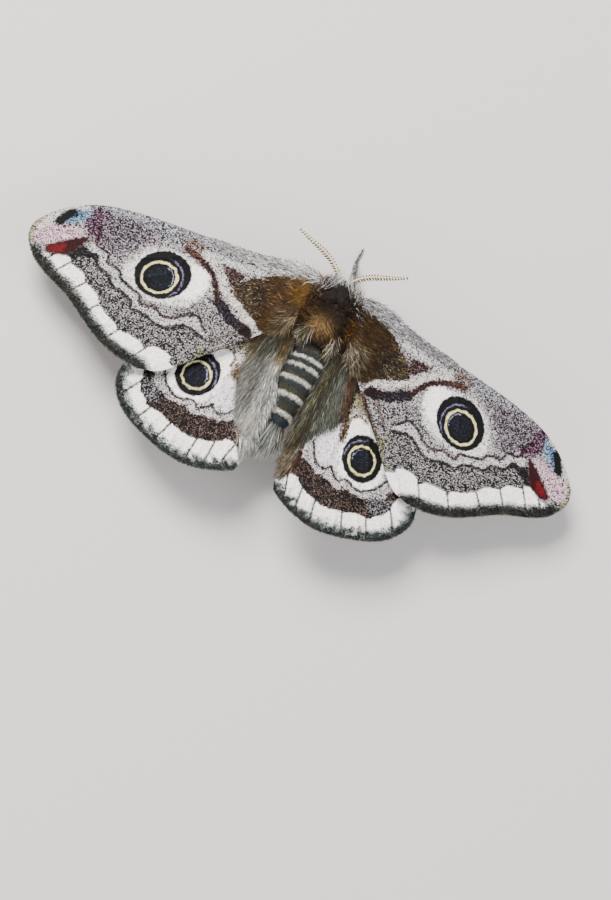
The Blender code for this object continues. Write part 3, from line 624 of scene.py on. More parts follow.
# %% Paint the forewing's inner half
def paint_fore_inner(brush):
    brush.patch([(8, -6.6), (11.5, -6.4), (13.8, -4.9), (16, -5.8), (17.5, -7.6), (14.4, -9.6),
                 (12.6, -12.5), (9.6, -9.4)], 1.2, 0.3, pale="#B5B0B2", dark="#4A4547", share=0.66)
    brush.patch([(10, 1.2), (20, 0.2), (26, 0.2), (31, -0.6), (35, -2.4), (31, 1.2), (20, 3),
                 (10, 3.6), (6.5, 3.2)], 0.9, 0.2, pale="#B2B2B6", dark="#55545B", share=0.60)
    brush.stroke([(5.6, 2.7), (9, 1.9), (13, 1.1), (17.3, 0.7)], 0.5, 0.8, 0.12,
                 pale="#C9C5C4", share=0.34)
    brush.patch([(22.6, 0.1), (27, 0.3), (31, -0.2), (31.5, -2.2), (29.6, -4.0), (27, -4.5),
                 (25.9, -3.2), (24.4, -1.5)], 1.0, 0.3, pale="#A89FA6", dark="#463C44",
                share=0.72)
    brush.patch([(15.1, -2.5), (15.8, -1.5), (17.4, -0.95), (19, -0.75), (22.0, -1.0),
                 (23.9, -2.3), (24.8, -4.0), (25.6, -5.7), (24.4, -7.2), (21.8, -7.9),
                 (18.6, -7.4), (16.6, -6.6), (15.6, -5.2), (15.1, -4.0)], 0.9, 0.14,
                pale="#DAD7D5", share=0.20)
    brush.patch([(15.2, -2.6), (15.9, -1.6), (17.6, -1.1), (18.4, -2.6), (17.9, -5.6),
                 (16.6, -5.4), (15.6, -4.2)], 0.7, 0.12, pale=WHITE, share=0.06)
    brush.stroke([(7.4, -5.3), (8.8, -4.75), (10.4, -3.95), (12.0, -3.05), (13.2, -2.35),
                  (13.9, -1.45), (14.7, -0.65), (15.8, 0.0), (17.0, 0.35)], 0.52, 0.45, 0.12,
                 pale="#D0CCC6", share=0.34)
    brush.patch([(11.8, 0.2), (13, 0.4), (14.5, 0.25), (13.7, -0.55), (13.1, -1.3),
                 (12.5, -1.7), (11.9, -1.2)], 0.35, 0.15, pale="#8C7674", dark="#472B2C",
                share=0.82)
    brush.patch([(7.7, -6.1), (9.2, -5.45), (10.8, -4.95), (12.0, -4.1), (13.0, -3.6),
                 (13.8, -3.8), (13.7, -4.7), (12.6, -5.4), (11.4, -6.05), (10, -6.5),
                 (8.8, -6.95), (7.9, -6.9)], 0.45, 0.14, pale="#6A5A64", dark="#2E1216",
                share=0.86)
    brush.patch([(10.8, -5.9), (12.2, -4.6), (13.4, -4.1), (13.5, -4.8), (12.2, -5.6),
                 (11, -6.3)], 0.5, 0.1, pale="#5C5062", dark="#1C1622", share=0.82)
    brush.patch([(8.0, -5.9), (9.0, -5.5), (9.5, -6.0), (9.0, -6.7), (8.2, -6.7)], 0.4, 0.1,
                pale="#421B1A", dark="#240A0B", share=0.8)
    brush.stroke([(13.5, -4.1), (14.05, -3.0), (14.6, -2.1), (15.3, -1.35), (16.3, -0.75),
                  (17.4, -0.35), (18.4, -0.1), (19.0, 0.1)], 0.32, 0.34, 0.08,
                 pale="#7E5E58", dark="#42201F", share=0.9)
    brush.patch([(17.2, -0.4), (17.6, 0.3), (18.8, 0.5), (19.9, 0.5), (19.7, -0.1), (18.6, -0.4)],
                0.5, 0.12, pale="#84655A", dark="#4A2620", share=0.74)
    brush.patch([(17.5, 0.9), (18.0, 1.8), (19.4, 1.7), (20.2, 1.0), (19.0, 0.7)], 0.7, 0.2,
                pale="#9C8C84", dark="#54382E", share=0.62)
    brush.patch([(2.8, 3.3), (5, 2.4), (7.5, 1.8), (9.6, 0.7), (11.3, -0.5), (12.3, -1.8),
                 (11.6, -2.7), (10, -3.5), (8.4, -4.1), (7, -5.0), (5.2, -4.9), (2.8, -3)],
                0.5, 0.22, pale="#6E5220", dark="#2E1C0B", share=0.60)
    brush.patch([(8.2, -1.2), (10, -0.6), (11.6, -1.4), (11.2, -2.5), (9.4, -3.3),
                 (8, -2.9)], 0.8, 0.2, pale="#7A6A58", dark="#2E2019", share=0.70)
    brush.stroke([(7.9, -7.0), (9.2, -8.5), (10.8, -10.2), (12.0, -11.6)], 0.32, 0.4, 0.1,
                 pale="#75604F", dark="#3E2A20", share=0.72)
    brush.stroke([(9.9, -6.9), (10.9, -8.0), (11.9, -9.3)], 0.2, 0.4, 0.12,
                 pale="#9A8C84", dark="#46342E", share=0.62)
    brush.stroke([(12.2, -11.0), (13.2, -12.6), (14.2, -14.0)], 0.35, 0.5, 0.1,
                 pale="#9A967E", dark="#3A3626", share=0.66)
    brush.patch([(12.4, -10.2), (14.2, -9.6), (15.8, -11.6), (14.9, -13.6), (13.5, -12.6)],
                0.9, 0.2, pale="#A8A48F", dark="#56513C", share=0.6)


# %% Paint the forewing's outer half
def paint_fore_outer(brush):
    brush.patch(ZIGZAG_INNER + ZIGZAG_OUTER[::-1], 0.3, 0.05, pale="#C8C4C4", share=0.38)
    brush.patch(ZIGZAG_OUTER + [(32.0, -7.0)] + FORE_WHITE_EDGE[-7:0:-1] + [(13.4, -12.6)],
                0.3, 0.06, pale="#B4AFB0", dark="#3A3335", share=0.72)
    brush.stroke([(p[0] - 0.25, p[1] + 0.55) for p in FORE_WHITE_EDGE[1:-6]], 0.35, 0.7, 0.1,
                 dark="#3C3537", share=0.82)
    brush.patch([(14.2, -9.2), (16, -9.4), (17.2, -10.3), (16.4, -11.2), (14.8, -10.6)],
                0.7, 0.2, dark="#3F4243", share=0.78)
    brush.stroke(ZIGZAG_INNER, 0.16, 0.26, 0.05, pale="#857A7E", dark="#4A3E43", share=0.90)
    brush.stroke(ZIGZAG_INNER[4:11], 0.2, 0.3, 0.06, dark="#5A3D42", share=0.80)
    brush.stroke(ZIGZAG_OUTER, 0.18, 0.3, 0.05, pale="#7A7073", dark="#3E3539", share=0.90)
    brush.patch([(30.0, -0.1), (31.6, 0.3), (32.3, -1.0), (32.0, -2.6), (31.2, -3.4),
                 (29.9, -4.0), (29.4, -3.0), (30.2, -1.8)], 0.7, 0.3, pale="#A08498",
                dark="#3E1A2A", share=0.78)
    brush.stroke([(30.4, -2.0), (29.9, -3.0), (29.8, -4.0)], 0.25, 0.5, 0.12, pale="#7E5868",
                 dark="#3A1420", share=0.82)


def paint_fore_tip(brush):
    brush.patch([(31.9, -0.5), (33.3, -0.7), (34.1, -2.3), (33.4, -3.1), (32.2, -2.5)], 0.5,
                0.12, pale="#9DB0C0", dark="#42586E", share=0.52)
    brush.patch([(32.2, -3.2), (33.6, -3.7), (35.4, -4.3), (36.6, -4.4), (37.2, -5.8),
                 (36.6, -7.0), (35.2, -7.0), (33.6, -5.6), (31.9, -4.2)], 0.6, 0.15,
                pale="#D2BEC6", dark="#9A4A68", share=0.46)
    brush.stroke([(32.6, -0.6), (34.1, -1.1), (35.4, -2.2), (36.2, -3.6), (36.7, -5.2)],
                 0.30, 0.4, 0.08, pale="#C9C4B8", share=0.26)
    brush.stroke([(33.9, -1.8), (34.3, -2.3), (34.75, -3.1), (35.0, -3.6)], 0.5, 0.3,
                 0.08, pale="#20242E", dark="#0A0A0D", share=0.93)
    brush.stroke([(32.7, -1.3), (33.2, -1.7), (33.6, -2.5), (34.1, -3.3)], 0.22, 0.4, 0.08,
                 pale="#6F8CAC", dark="#12151E", share=0.62)
    brush.patch([(28.8, -5.5), (30.2, -5.4), (31.0, -5.1), (31.6, -5.6), (32.2, -6.6),
                 (32.5, -7.2), (31.6, -7.2), (30.7, -6.5), (29.5, -6.15), (28.8, -6.0)],
                0.3, 0.08, pale="#6A6265", dark="#17151A", share=0.93)
    brush.patch([(31.0, -3.9), (31.9, -4.4), (33.2, -5.4), (34.6, -6.6), (35.2, -7.25),
                 (34.9, -7.75), (34.2, -7.85), (33.0, -7.5), (32.1, -6.8), (31.5, -5.6),
                 (31.0, -4.6)], 0.24, 0.07, pale="#4A0A14", dark="#2A060A", share=0.4)
    brush.patch([(33.0, -5.9), (34.2, -6.6), (34.8, -7.3), (34.2, -7.6), (33.2, -7.1)], 0.5,
                0.08, pale="#7A1220", dark="#4A0A14", share=0.3)


print("forewing has its inner, outer and tip marks")


# %% Paint the forewing's white band, margin and whole
FORE_FRINGE_MM = 0.28


def streaks(along, seed):
    """Fine streaks that run in from the edge, by the place along it from 0 to 1."""
    draw = np.random.default_rng(seed)
    total = np.zeros(len(along))
    for _ in range(14):
        total += np.sin(along * draw.uniform(300, 1500) + draw.uniform(0, 6.28))
    return total / 4


def paint_fore_margin(brush, rim, along):
    u, v = brush.places[:, 0], brush.places[:, 1]
    band = smooth_curve([(37.9, -7.9), (38.5, -13), (26, -19), (12, -18), (13.4, -15)], 2)
    ring = np.concatenate([smooth_curve(FORE_WHITE_EDGE, 3), band])
    depth = patch_depth(brush.places, ring) + 0.05 * wander(brush.places, 0.6, 5)
    white = soft_step(depth, -0.06, 0.12)
    brush.lay(white, pale=WHITE, dark="#8D8F8C", share=0.03)
    hind_part = soft_step(-v - 0.1 * u, 3.6, 4.6)
    lines = streaks(along, 8)
    rim = rim + 0.12 * wander(brush.places, 2.2, 8) + 0.1 * lines
    grey = (1 - soft_step(rim, 0.9, 1.85)) * hind_part
    brush.lay(grey, pale="#8E9190", dark="#3A3D3D", share=0.66)
    deep = (1 - soft_step(rim, 0.45, 1.5)) * hind_part
    brush.lay(deep, pale="#4C4F49", dark="#20231F", share=0.80)
    brush.share += 0.12 * lines * grey
    for tip in FORE_VEIN_TIPS:
        brush.stroke(tip, 0.09, 0.16, 0.02, pale="#77746C", dark="#33312D", share=0.85)
    brush.stroke([(35.0, -7.0), (36.0, -7.3), (36.9, -7.75)], 0.12, 0.2, 0.03,
                 dark="#3B3432", share=0.85)
    tip_edge = (1 - soft_step(rim, FORE_FRINGE_MM, FORE_FRINGE_MM + 0.5)) * (1 - hind_part)
    brush.lay(tip_edge * 0.85, pale="#B3AD93", dark="#5B5540", share=0.5)


def paint_forewing(places, side, top):
    """Colours of the forewing; the underside is the same pattern, paler and greyer."""
    shifted = places + np.array([0.0, SIDE_SHIFT_MM * side])
    brush = Painter(shifted, PALE_GREY, "#4A4346", 0.54)
    brush.share += 0.06 * wander(shifted, 2.6, 11)
    paint_fore_inner(brush)
    paint_fore_outer(brush)
    rim, along = line_distance(places, even_curve(FORE_OUTER, 60))
    paint_fore_margin(brush, rim, along)
    paint_fore_tip(brush)
    paint_eyespot(brush, disc=(20.8, -4.2), disc_size=(3.6, 3.05), ring=(21.05, -4.67),
                  ring_size=(2.4, 2.1), turn=145, ring_width=0.34, crescent_end=235)
    fade_underside(brush, top)
    return brush


def fade_underside(brush, top):
    under = np.where(top, 0.0, 1.0)
    brush.lay(under * 0.45, pale="#CBC6C0", dark="#8C8480")
    brush.share *= 1 - 0.15 * under


print("margin and underside are ready")

# %% [markdown]
# ## The hindwing's pattern
#
# The hindwing repeats the theme: an eyespot in a pale field, a thin scalloped line, a
# dark speckled band, a white band and a grey margin. Its inner third is hidden under
# long hair, with a patch near the rear corner that is rusty on the right wing. The left
# wing's pattern lies a little further out and ahead, and the right wing's the other way.

# %% Lines that bound the hindwing's bands
HIND_BAND_UPPER = [
    (1.8, -17.0), (4.4, -17.1), (5.9, -17.6), (6.8, -18.1), (7.8, -18.1), (8.7, -18.2),
    (9.4, -18.5), (10.2, -18.7), (11.1, -18.2), (12.4, -18.3), (13.8, -18.1),
    (15.0, -17.5), (16.1, -17.1), (16.4, -16.0), (17.6, -15.2),
]
HIND_BAND_LOWER = [
    (18.2, -15.4), (17.5, -16.6), (17.4, -17.8), (16.8, -18.8), (15.9, -19.5),
    (15.4, -20.1), (14.2, -20.15), (12.9, -20.5), (11.4, -21.0), (9.9, -21.3),
    (8.4, -21.25), (7.0, -20.9), (5.8, -20.35), (4.6, -19.6), (3.6, -19.9), (1.8, -20.4),
]
HIND_SCALLOPS = [
    (4.9, -14.6), (5.6, -15.8), (6.1, -16.6), (6.9, -17.05), (7.8, -17.05), (8.25, -16.4),
    (8.7, -16.9), (9.3, -17.45), (9.95, -17.65), (10.4, -17.1), (11.2, -17.15),
    (12.0, -17.5), (12.9, -17.55), (13.6, -17.1), (14.4, -16.6), (14.9, -15.8),
    (15.6, -14.4), (15.4, -12.4),
]
HIND_VEIN_TIPS = [
    [(3.7, -19.8), (4.2, -21.6), (4.5, -23.1)], [(6.1, -20.6), (6.2, -22.0), (6.3, -23.8)],
    [(8.2, -21.1), (8.45, -22.8), (8.6, -24.4)], [(11.9, -20.9), (12.4, -22.2), (12.9, -23.9)],
    [(15.0, -20.2), (15.5, -21.2), (16.2, -22.6)], [(17.3, -17.6), (18.2, -19.0), (18.9, -20.3)],
]
HIND_SHIFT = (-0.16, -0.14)
print("scalloped line has", len(HIND_SCALLOPS), "places")


# %% Paint the hindwing
def paint_hind_middle(brush, side):
    brush.patch([(5.0, -12.4), (7.4, -12.2), (8.6, -13.6), (8.9, -16.2), (7.4, -16.6),
                 (5.8, -16.0)], 1.0, 0.2, pale="#DCD8DA", dark="#8D868C", share=0.16)
    brush.patch([(8.3, -9.4), (10, -8.9), (11.9, -10.0), (14.4, -12.4), (14.8, -15.4),
                 (13.4, -17.2), (10.8, -17.2), (9.2, -16.4), (8.2, -13), (7.9, -11)], 0.6,
                0.15, pale=WHITE, share=0.05)
    if side == LEFT:
        brush.patch([(6.0, -10.9), (7.4, -10.4), (7.8, -11.4), (7.4, -12.4), (6.2, -12.4)], 0.8,
                    0.2, pale="#97806A", dark="#4E3424", share=0.66)
    else:
        brush.stroke([(5.6, -4.4), (6.6, -7.0), (7.4, -9.4), (8.0, -11.6), (8.1, -12.6)], 0.4,
                     0.6, 0.15, pale="#80684F", dark="#442C1C", share=0.72)
    brush.stroke([(8.2, -11.0), (8.1, -9.9), (8.9, -9.1), (10.2, -9.3)], 0.16, 0.4, 0.08,
                 pale="#8E7E70", dark="#4C3426", share=0.6)
    brush.patch(HIND_BAND_UPPER + HIND_BAND_LOWER, 0.28, 0.1, pale="#86746B",
                dark="#2A1A17", share=0.85)
    brush.stroke(HIND_BAND_LOWER[3:-3], 0.5, 0.8, 0.1, dark="#251A1B", share=0.88)
    brush.patch([(14.6, -17.6), (16.2, -17.0), (17.4, -16.8), (17.2, -18.4), (15.6, -19.6),
                 (14.6, -19.0)], 1.2, 0.15, pale="#A3A0A4", dark="#2E2C33", share=0.76)
    rust = [(1.6, -15.0), (3.4, -15.0), (4.3, -16.8), (4.5, -18.6), (3.8, -19.6), (1.6, -20.4)]
    if side == RIGHT:
        brush.patch(rust, 0.9, 0.25, pale="#6A4026", dark="#2E1408", share=0.76)
    else:
        brush.patch(rust, 0.9, 0.25, pale="#A89A8E", dark="#4A3C36", share=0.6)
    brush.stroke(HIND_SCALLOPS, 0.13, 0.22, 0.04, pale="#857C7E", dark="#2E282B", share=0.88)


def paint_hindwing(places, side, top):
    shifted = places + np.array(HIND_SHIFT) * side
    brush = Painter(shifted, "#C9C4C4", "#544C4E", 0.40)
    brush.share += 0.07 * wander(shifted, 2.2, 21)
    brush.patch([(2, 0), (8, -3), (14, -6), (18, -10), (15, -12), (10, -8.8), (7, -9),
                 (5, -13), (2, -15)], 1.5, 0.3, pale="#AFA792", dark="#5C5136", share=0.5)
    paint_hind_middle(brush, side)
    rim, along = line_distance(places, even_curve(HIND_OUTER, 60))
    lines = streaks(along, 9)
    band = smooth_curve([(1, -20.6), (0, -26), (22, -27), (24, -14), (18.6, -14.8)], 2)
    ring = np.concatenate([smooth_curve(HIND_BAND_LOWER, 3), band])
    depth = patch_depth(brush.places, ring) + 0.06 * wander(brush.places, 0.6, 6)
    brush.lay(soft_step(depth, -0.06, 0.12), pale=WHITE, dark="#8D8F8C", share=0.03)
    rim = rim + 0.25 * wander(brush.places, 1.6, 9) + 0.1 * lines
    grey = 1 - soft_step(rim, 0.5, 2.1)
    brush.lay(grey, pale="#A3A8A6", dark="#3C4444", share=0.56)
    brush.lay(1 - soft_step(rim, 0.1, 1.5), pale="#525856", dark="#1E2424", share=0.80)
    brush.share += 0.16 * lines * grey
    for tip in HIND_VEIN_TIPS:
        brush.stroke(tip, 0.1, 0.2, 0.02, pale="#77746C", dark="#33312D", share=0.85)
    paint_eyespot(brush, disc=(11.48, -13.72), disc_size=(3.05, 2.65),
                  ring=(11.55, -13.95), ring_size=(1.98, 1.88), turn=115, ring_width=0.31,
                  crescent_end=205)
    fade_underside(brush, top)
    return brush


print("hindwing pattern is ready")

# %% [markdown]
# ## The finish of the wings
#
# Scales are flat plates of chitin about 0.05 mm wide and 0.1 mm long that overlap like
# roof tiles, in rows that run out from the root. They would be too fine to show, so they
# are drawn 0.085 by 0.115 mm, which is nearly a pixel of the picture. A Voronoi pattern
# on the wing's own plan gives every scale its cell; each cell draws a random number, and
# the share of dark scales at that place decides whether it is pale or dark. The plates
# give the wing a dusty, matt look, and a little bump separates them.

# %% Scale-covered wing material
SCALE_LONG_MM = 0.115
SCALE_WIDE_MM = 0.085
ROW_TURN = {"forewing": -22, "hindwing": -62}


def scale_material(name, side, degrees):
    finish, tree, shader = new_material(name)
    spot = add(tree, "ShaderNodeTexCoord").outputs["Object"]
    turned = add(tree, "ShaderNodeMapping", Vector=spot,
                 Rotation=(0, 0, math.radians(degrees * side)),
                 Scale=(1 / (SCALE_LONG_MM * MM), 1 / (SCALE_WIDE_MM * MM), 0))
    cells = add(tree, "ShaderNodeTexVoronoi", {"voronoi_dimensions": "2D"},
                Vector=turned.outputs[0], Scale=1.0)
    draw = add(tree, "ShaderNodeSeparateColor", Color=cells.outputs["Color"])
    share = read_attribute(tree, "dark_share")
    ahead = add(tree, "ShaderNodeMath", {"operation": "SUBTRACT"}, _0=share,
                _1=draw.outputs[0])
    chosen = add(tree, "ShaderNodeMapRange", {"interpolation_type": "SMOOTHSTEP"},
                 Value=ahead.outputs[0], From_Min=-0.18, From_Max=0.18)
    pair = add(tree, "ShaderNodeMix", {"data_type": "RGBA"}, _0=chosen.outputs[0],
               _6=read_attribute(tree, "pale_scales", "Color"),
               _7=read_attribute(tree, "dark_scales", "Color"))
    value = add(tree, "ShaderNodeMapRange", Value=draw.outputs[1], To_Min=0.8, To_Max=1.16)
    colour = add(tree, "ShaderNodeHueSaturation", Value=value.outputs[0],
                 Color=pair.outputs[2])
    bump = add(tree, "ShaderNodeBump", Height=cells.outputs["Distance"], Strength=0.35,
               Distance=0.02 * MM)
    tree.links.new(colour.outputs[0], shader.inputs["Base Color"])
    tree.links.new(bump.outputs[0], shader.inputs["Normal"])
    shader.inputs["Roughness"].default_value = 0.8
    shader.inputs["IOR"].default_value = 1.45
    shader.inputs["Specular IOR Level"].default_value = 0.2
    return finish


print("scales", SCALE_LONG_MM, "by", SCALE_WIDE_MM, "mm")

# %% Keep the painted colours at the vertices
# The view transform lifts middle tones, so the stored colours are deepened to match.
DARK_DEPTH = 0.30
PALE_POWER = 1.4
DARK_POWER = 1.4


def store_colour(mesh, rows, name="hair_colour"):
    """Write a linear colour for each vertex of a mesh."""
    layer = mesh.attributes.new(name, "FLOAT_COLOR", "POINT")
    colours = np.c_[rows, np.ones(len(rows))].astype(np.float32)
    layer.data.foreach_set("color", colours.ravel())


def store_paint(mesh, brush):
    brush.share = np.clip(brush.share, 0, 1)
    store_colour(mesh, brush.pale ** PALE_POWER, "pale_scales")
    store_colour(mesh, DARK_DEPTH * brush.dark ** DARK_POWER, "dark_scales")
    share = mesh.attributes.new("dark_share", "FLOAT", "POINT")
    share.data.foreach_set("value", brush.share.astype(np.float32))


print("paint is kept in three attributes")

# %% [markdown]
# ## Making the four wings
#
# Each wing is the same steps with its own edges, cells and painter. The map named OFBake
# gives every vertex a place on a square: a wing's upper face lies on one half of it and
# the underside on the other, straight from the wing's plan.

# %% Lay a map and show a piece
def letter_of(side):
    return "L" if side == LEFT else "R"


def lay_map(mesh, flat):
    """Give each corner of the mesh the map place of its vertex."""
    layer = mesh.uv_layers.new(name="OFBake")
    corner = np.empty(len(mesh.loops), np.int32)
    mesh.loops.foreach_get("vertex_index", corner)
    layer.uv.foreach_set("vector", flat[corner].astype(np.float32).ravel())


def add_piece(name, mesh, finish, slot, *nodes):
    """Show a mesh with its finish, in place of the solids that it dresses."""
    piece = bpy.data.objects.new(name, mesh)
    bpy.context.collection.objects.link(piece)
    mesh.materials.append(finish)
    if nodes:
        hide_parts(*nodes)
    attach(piece, "root")


print("sides are named", letter_of(LEFT), "and", letter_of(RIGHT))

# %% The wings
FORE_CELLS = (276, 144)
HIND_CELLS = (150, 170)
MAP_SPAN = {"forewing": (3.0, 36.0, -17.5, 23.0), "hindwing": (2.0, 20.0, -25.5, 25.5)}
MAP_TALL, TOP_BASE, UNDER_BASE = 0.47, 0.51, 0.01


def wing_map(kind, plan, base):
    """Map places of a wing's plan; `base` is the foot of its half of the square."""
    low_u, span_u, low_v, span_v = MAP_SPAN[kind]
    return np.stack([(plan[:, 0] - low_u) / span_u,
                     (plan[:, 1] - low_v) / span_v * MAP_TALL + base], -1)


def make_wing(kind, side, edges, cells, veins, painter):
    node = kind + "_" + letter_of(side)
    name = kind + "_scaled_" + letter_of(side)
    mesh, plan, top = wing_sheet(name, side, edges, cells, WING_HEIGHT[kind], veins)
    store_paint(mesh, painter(plan, side, top))
    flat = wing_map(kind, plan, np.where(top, TOP_BASE, UNDER_BASE))
    lay_map(mesh, np.clip(flat, 0.002, 0.998))
    finish = scale_material(node + "_scales", side, ROW_TURN[kind])
    add_piece(name, mesh, finish, "wing_scales", node)
    print(name, 2 * len(mesh.polygons), "triangles")


for side in (LEFT, RIGHT):
    make_wing("forewing", side, (FORE_COSTA, FORE_REAR, FORE_ROOT, FORE_OUTER), FORE_CELLS,
              FORE_VEINS, paint_forewing)
    make_wing("hindwing", side, (HIND_COSTA, HIND_REAR, hind_root(side), HIND_OUTER),
              HIND_CELLS, HIND_VEINS, paint_hindwing)

# %% [markdown]
# ## The skin of the body
#
# Under the hair, the head, thorax, abdomen and legs are one unbroken skin. It is put
# together from simple shapes: a cylinder whose rings are moved onto the body's or a
# leg's course, and a ball for the head. A voxel remesh then melts them into a single
# closed surface, which takes the seams away, and a few smoothing steps round it. The
# skin lies inside the solids by the depth of the coat, and a leg's skin is a little less
# than half as thick as its solid.

# %% Sizes of the body
THORAX_RINGS = [
    (-3.8, 2.0, 1.9, 5.9), (-3.0, 2.9, 2.65, 6.05), (-1.4, 3.35, 3.1, 6.25),
    (0.8, 3.45, 3.2, 6.25), (2.6, 3.0, 2.7, 6.1), (3.9, 1.9, 1.7, 5.8),
]
ABDOMEN_RINGS = [
    (-3.6, 2.1, 1.9, 5.5), (-4.6, 2.75, 2.6, 5.4), (-6.5, 3.05, 2.95, 5.35),
    (-8.5, 3.1, 3.0, 5.25), (-10.5, 3.05, 2.95, 5.15), (-12.5, 2.8, 2.7, 5.05),
    (-14.2, 2.3, 2.2, 4.95), (-15.4, 1.5, 1.4, 4.9), (-15.9, 0.8, 0.75, 4.9),
]
ABDOMEN_FRONT, ABDOMEN_TIP, ABDOMEN_LEAN = -4.3, -15.9, 0.8
ABDOMEN_JOINTS = [-5.8, -7.0, -8.8, -11.0, -13.3]
COAT_DEPTH = {"thorax": 0.75, "abdomen": 0.4, "head": 0.3}
HEAD_CENTRE, HEAD_SIZE = (0.0, 4.7, 4.25), (1.75, 1.45, 1.5)
EYE_CENTRE, EYE_RADIUS = (1.5, 5.0, 4.15), 0.85
LEG_RADII = [0.5, 0.6, 0.66, 0.58, 0.52, 0.42, 0.34, 0.26]
LEG_SCALE = 0.45
LEG_STEPS = 24
MIDLEG = [(1.45, -0.2, 2.75), (2.3, -0.1, 2.0), (4.1, 0.4, 2.9), (5.4, 0.9, 2.7),
          (6.7, 1.3, 1.4), (7.5, 1.5, 0.32), (8.4, 1.7, 0.27), (9.6, 1.9, 0.27)]
HINDLEG = [(1.35, -2.35, 2.85), (2.3, -2.9, 2.0), (4.1, -4.6, 2.9), (5.3, -6.6, 2.9),
           (5.9, -9.2, 1.5), (6.1, -11.0, 0.34), (6.2, -12.2, 0.27), (6.3, -13.8, 0.27)]
FORELEG_L = [(1.3, 2.2, 2.95), (1.9, 2.7, 2.1), (3.2, 3.6, 2.5), (4.4, 4.1, 2.4),
             (5.4, 4.4, 1.2), (6.0, 4.5, 0.32), (6.8, 4.6, 0.27), (7.9, 4.7, 0.27)]
FORELEG_R = [(1.3, 2.2, 2.95), (2.0, 3.2, 2.0), (2.1, 5.0, 1.9), (1.4, 7.2, 2.2),
             (1.05, 9.1, 1.7), (1.05, 10.3, 0.4), (1.1, 11.2, 0.27), (1.2, 12.3, 0.27)]


def mirrored(path, side):
    return [(p[0] * side, p[1], p[2]) for p in path]


LEGS = {"foreleg_L": mirrored(FORELEG_L, LEFT), "foreleg_R": mirrored(FORELEG_R, RIGHT),
        "midleg_L": mirrored(MIDLEG, LEFT), "midleg_R": mirrored(MIDLEG, RIGHT),
        "hindleg_L": mirrored(HINDLEG, LEFT), "hindleg_R": mirrored(HINDLEG, RIGHT)}
LEG_COURSES = [even_curve(path, LEG_STEPS) for path in LEGS.values()]
LEG_AT = np.linspace(0, 1, LEG_STEPS)


def abdomen_lean(v):
    along = np.clip((ABDOMEN_FRONT - v) / (ABDOMEN_FRONT - ABDOMEN_TIP), 0, 1.3)
    return ABDOMEN_LEAN * along ** 1.3


print(len(LEGS), "legs, coat", COAT_DEPTH["thorax"], "mm deep on the thorax")


# %% A cylinder that follows a course
def ringed_cylinder(sides, rings):
    """A capped unit cylinder from z 0 to 1 with extra rings along it, as a bmesh."""
    bm = bmesh.new()
    bmesh.ops.create_cone(bm, cap_ends=True, cap_tris=True, segments=sides, radius1=1,
                          radius2=1, depth=1, matrix=Matrix.Translation((0, 0, 0.5)))
    upright = [e for e in bm.edges if abs(e.verts[0].co.z - e.verts[1].co.z) > 0.5]
    bmesh.ops.subdivide_edges(bm, edges=upright, cuts=rings, use_grid_fill=True)
    return bm


def bend_onto(bm, path, radii):
    """Move a unit cylinder's rings onto a course with a radius at each place."""
    course = even_curve(path, 60)
    at = np.linspace(0, 1, len(course))
    reach = np.interp(at, np.linspace(0, 1, len(radii)), radii)
    for vert in bm.verts:
        h = vert.co.z
        ahead = read_curve(min(h + 0.02, 1), at, course)
        behind = read_curve(max(h - 0.02, 0), at, course)
        way = Vector(ahead - behind).normalized()
        flat = way.cross(Vector((0, 0, 1)))
        if flat.length < 0.05:
            flat = way.cross(Vector((0, 1, 0)))
        flat.normalize()
        rise = flat.cross(way).normalized()
        wide = np.interp(h, at, reach)
        centre = Vector(read_curve(h, at, course))
        spot = centre + flat * vert.co.x * wide + rise * vert.co.y * wide
        vert.co = Vector(to_frame(spot))


print("a cylinder's rings follow a course")


# %% A ringed body, a ball, and one mesh of them all
def body_shape(rings, depth, lean=False):
    """A body from rings of (v, half width, half height, centre height)."""
    bm = ringed_cylinder(32, 60)
    rings = np.array(rings, float)
    fine = even_curve(rings, 80)
    at = np.linspace(0, 1, len(fine))
    for vert in bm.verts:
        v, wide, tall, centre = read_curve(vert.co.z, at, fine)
        across = vert.co.x * max(wide - depth, 0.2) + (abdomen_lean(v) if lean else 0)
        height = centre + vert.co.y * max(tall - depth, 0.2)
        vert.co = Vector(to_frame(np.array([float(across), v, height])))
    return bm


def ball(centre, size):
    bm = bmesh.new()
    bmesh.ops.create_icosphere(bm, subdivisions=4, radius=1)
    for vert in bm.verts:
        vert.co = Vector(to_frame(np.array(centre) + np.array(vert.co) * np.array(size)))
    return bm


def join_shapes(shapes, name):
    """Gather several bmeshes into one mesh with its faces outward."""
    whole = bmesh.new()
    for bm in shapes:
        bmesh.ops.recalc_face_normals(bm, faces=bm.faces[:])
        part = bpy.data.meshes.new("part")
        bm.to_mesh(part)
        bm.free()
        whole.from_mesh(part)
        bpy.data.meshes.remove(part)
    mesh = bpy.data.meshes.new(name)
    whole.to_mesh(mesh)
    whole.free()
    return mesh


print("shapes for the skin are ready")

# %% Melt the shapes into one skin
SKIN_VOXEL = 0.00015
JOINT_DIP_MM = 0.10
JOINT_WIDE_MM = 0.35
ABDOMEN_HALF_MM, ABDOMEN_MIDDLE_MM = 2.8, 5.2


def abdomen_skin():
    """The abdomen with a shallow dip at each joint."""
    bm = body_shape(ABDOMEN_RINGS, COAT_DEPTH["abdomen"], lean=True)
    for vert in bm.verts:
        across, v, z = from_frame(np.array(vert.co))
        dip = sum(math.exp(-((v - j + 0.25) / JOINT_WIDE_MM) ** 2) for j in ABDOMEN_JOINTS)
        shrink = 1 - JOINT_DIP_MM * dip / ABDOMEN_HALF_MM
        middle = float(abdomen_lean(v))
        across = middle + (across - middle) * shrink
        z = ABDOMEN_MIDDLE_MM + (z - ABDOMEN_MIDDLE_MM) * shrink
        vert.co = Vector(to_frame(np.array([across, v, z])))
    return bm


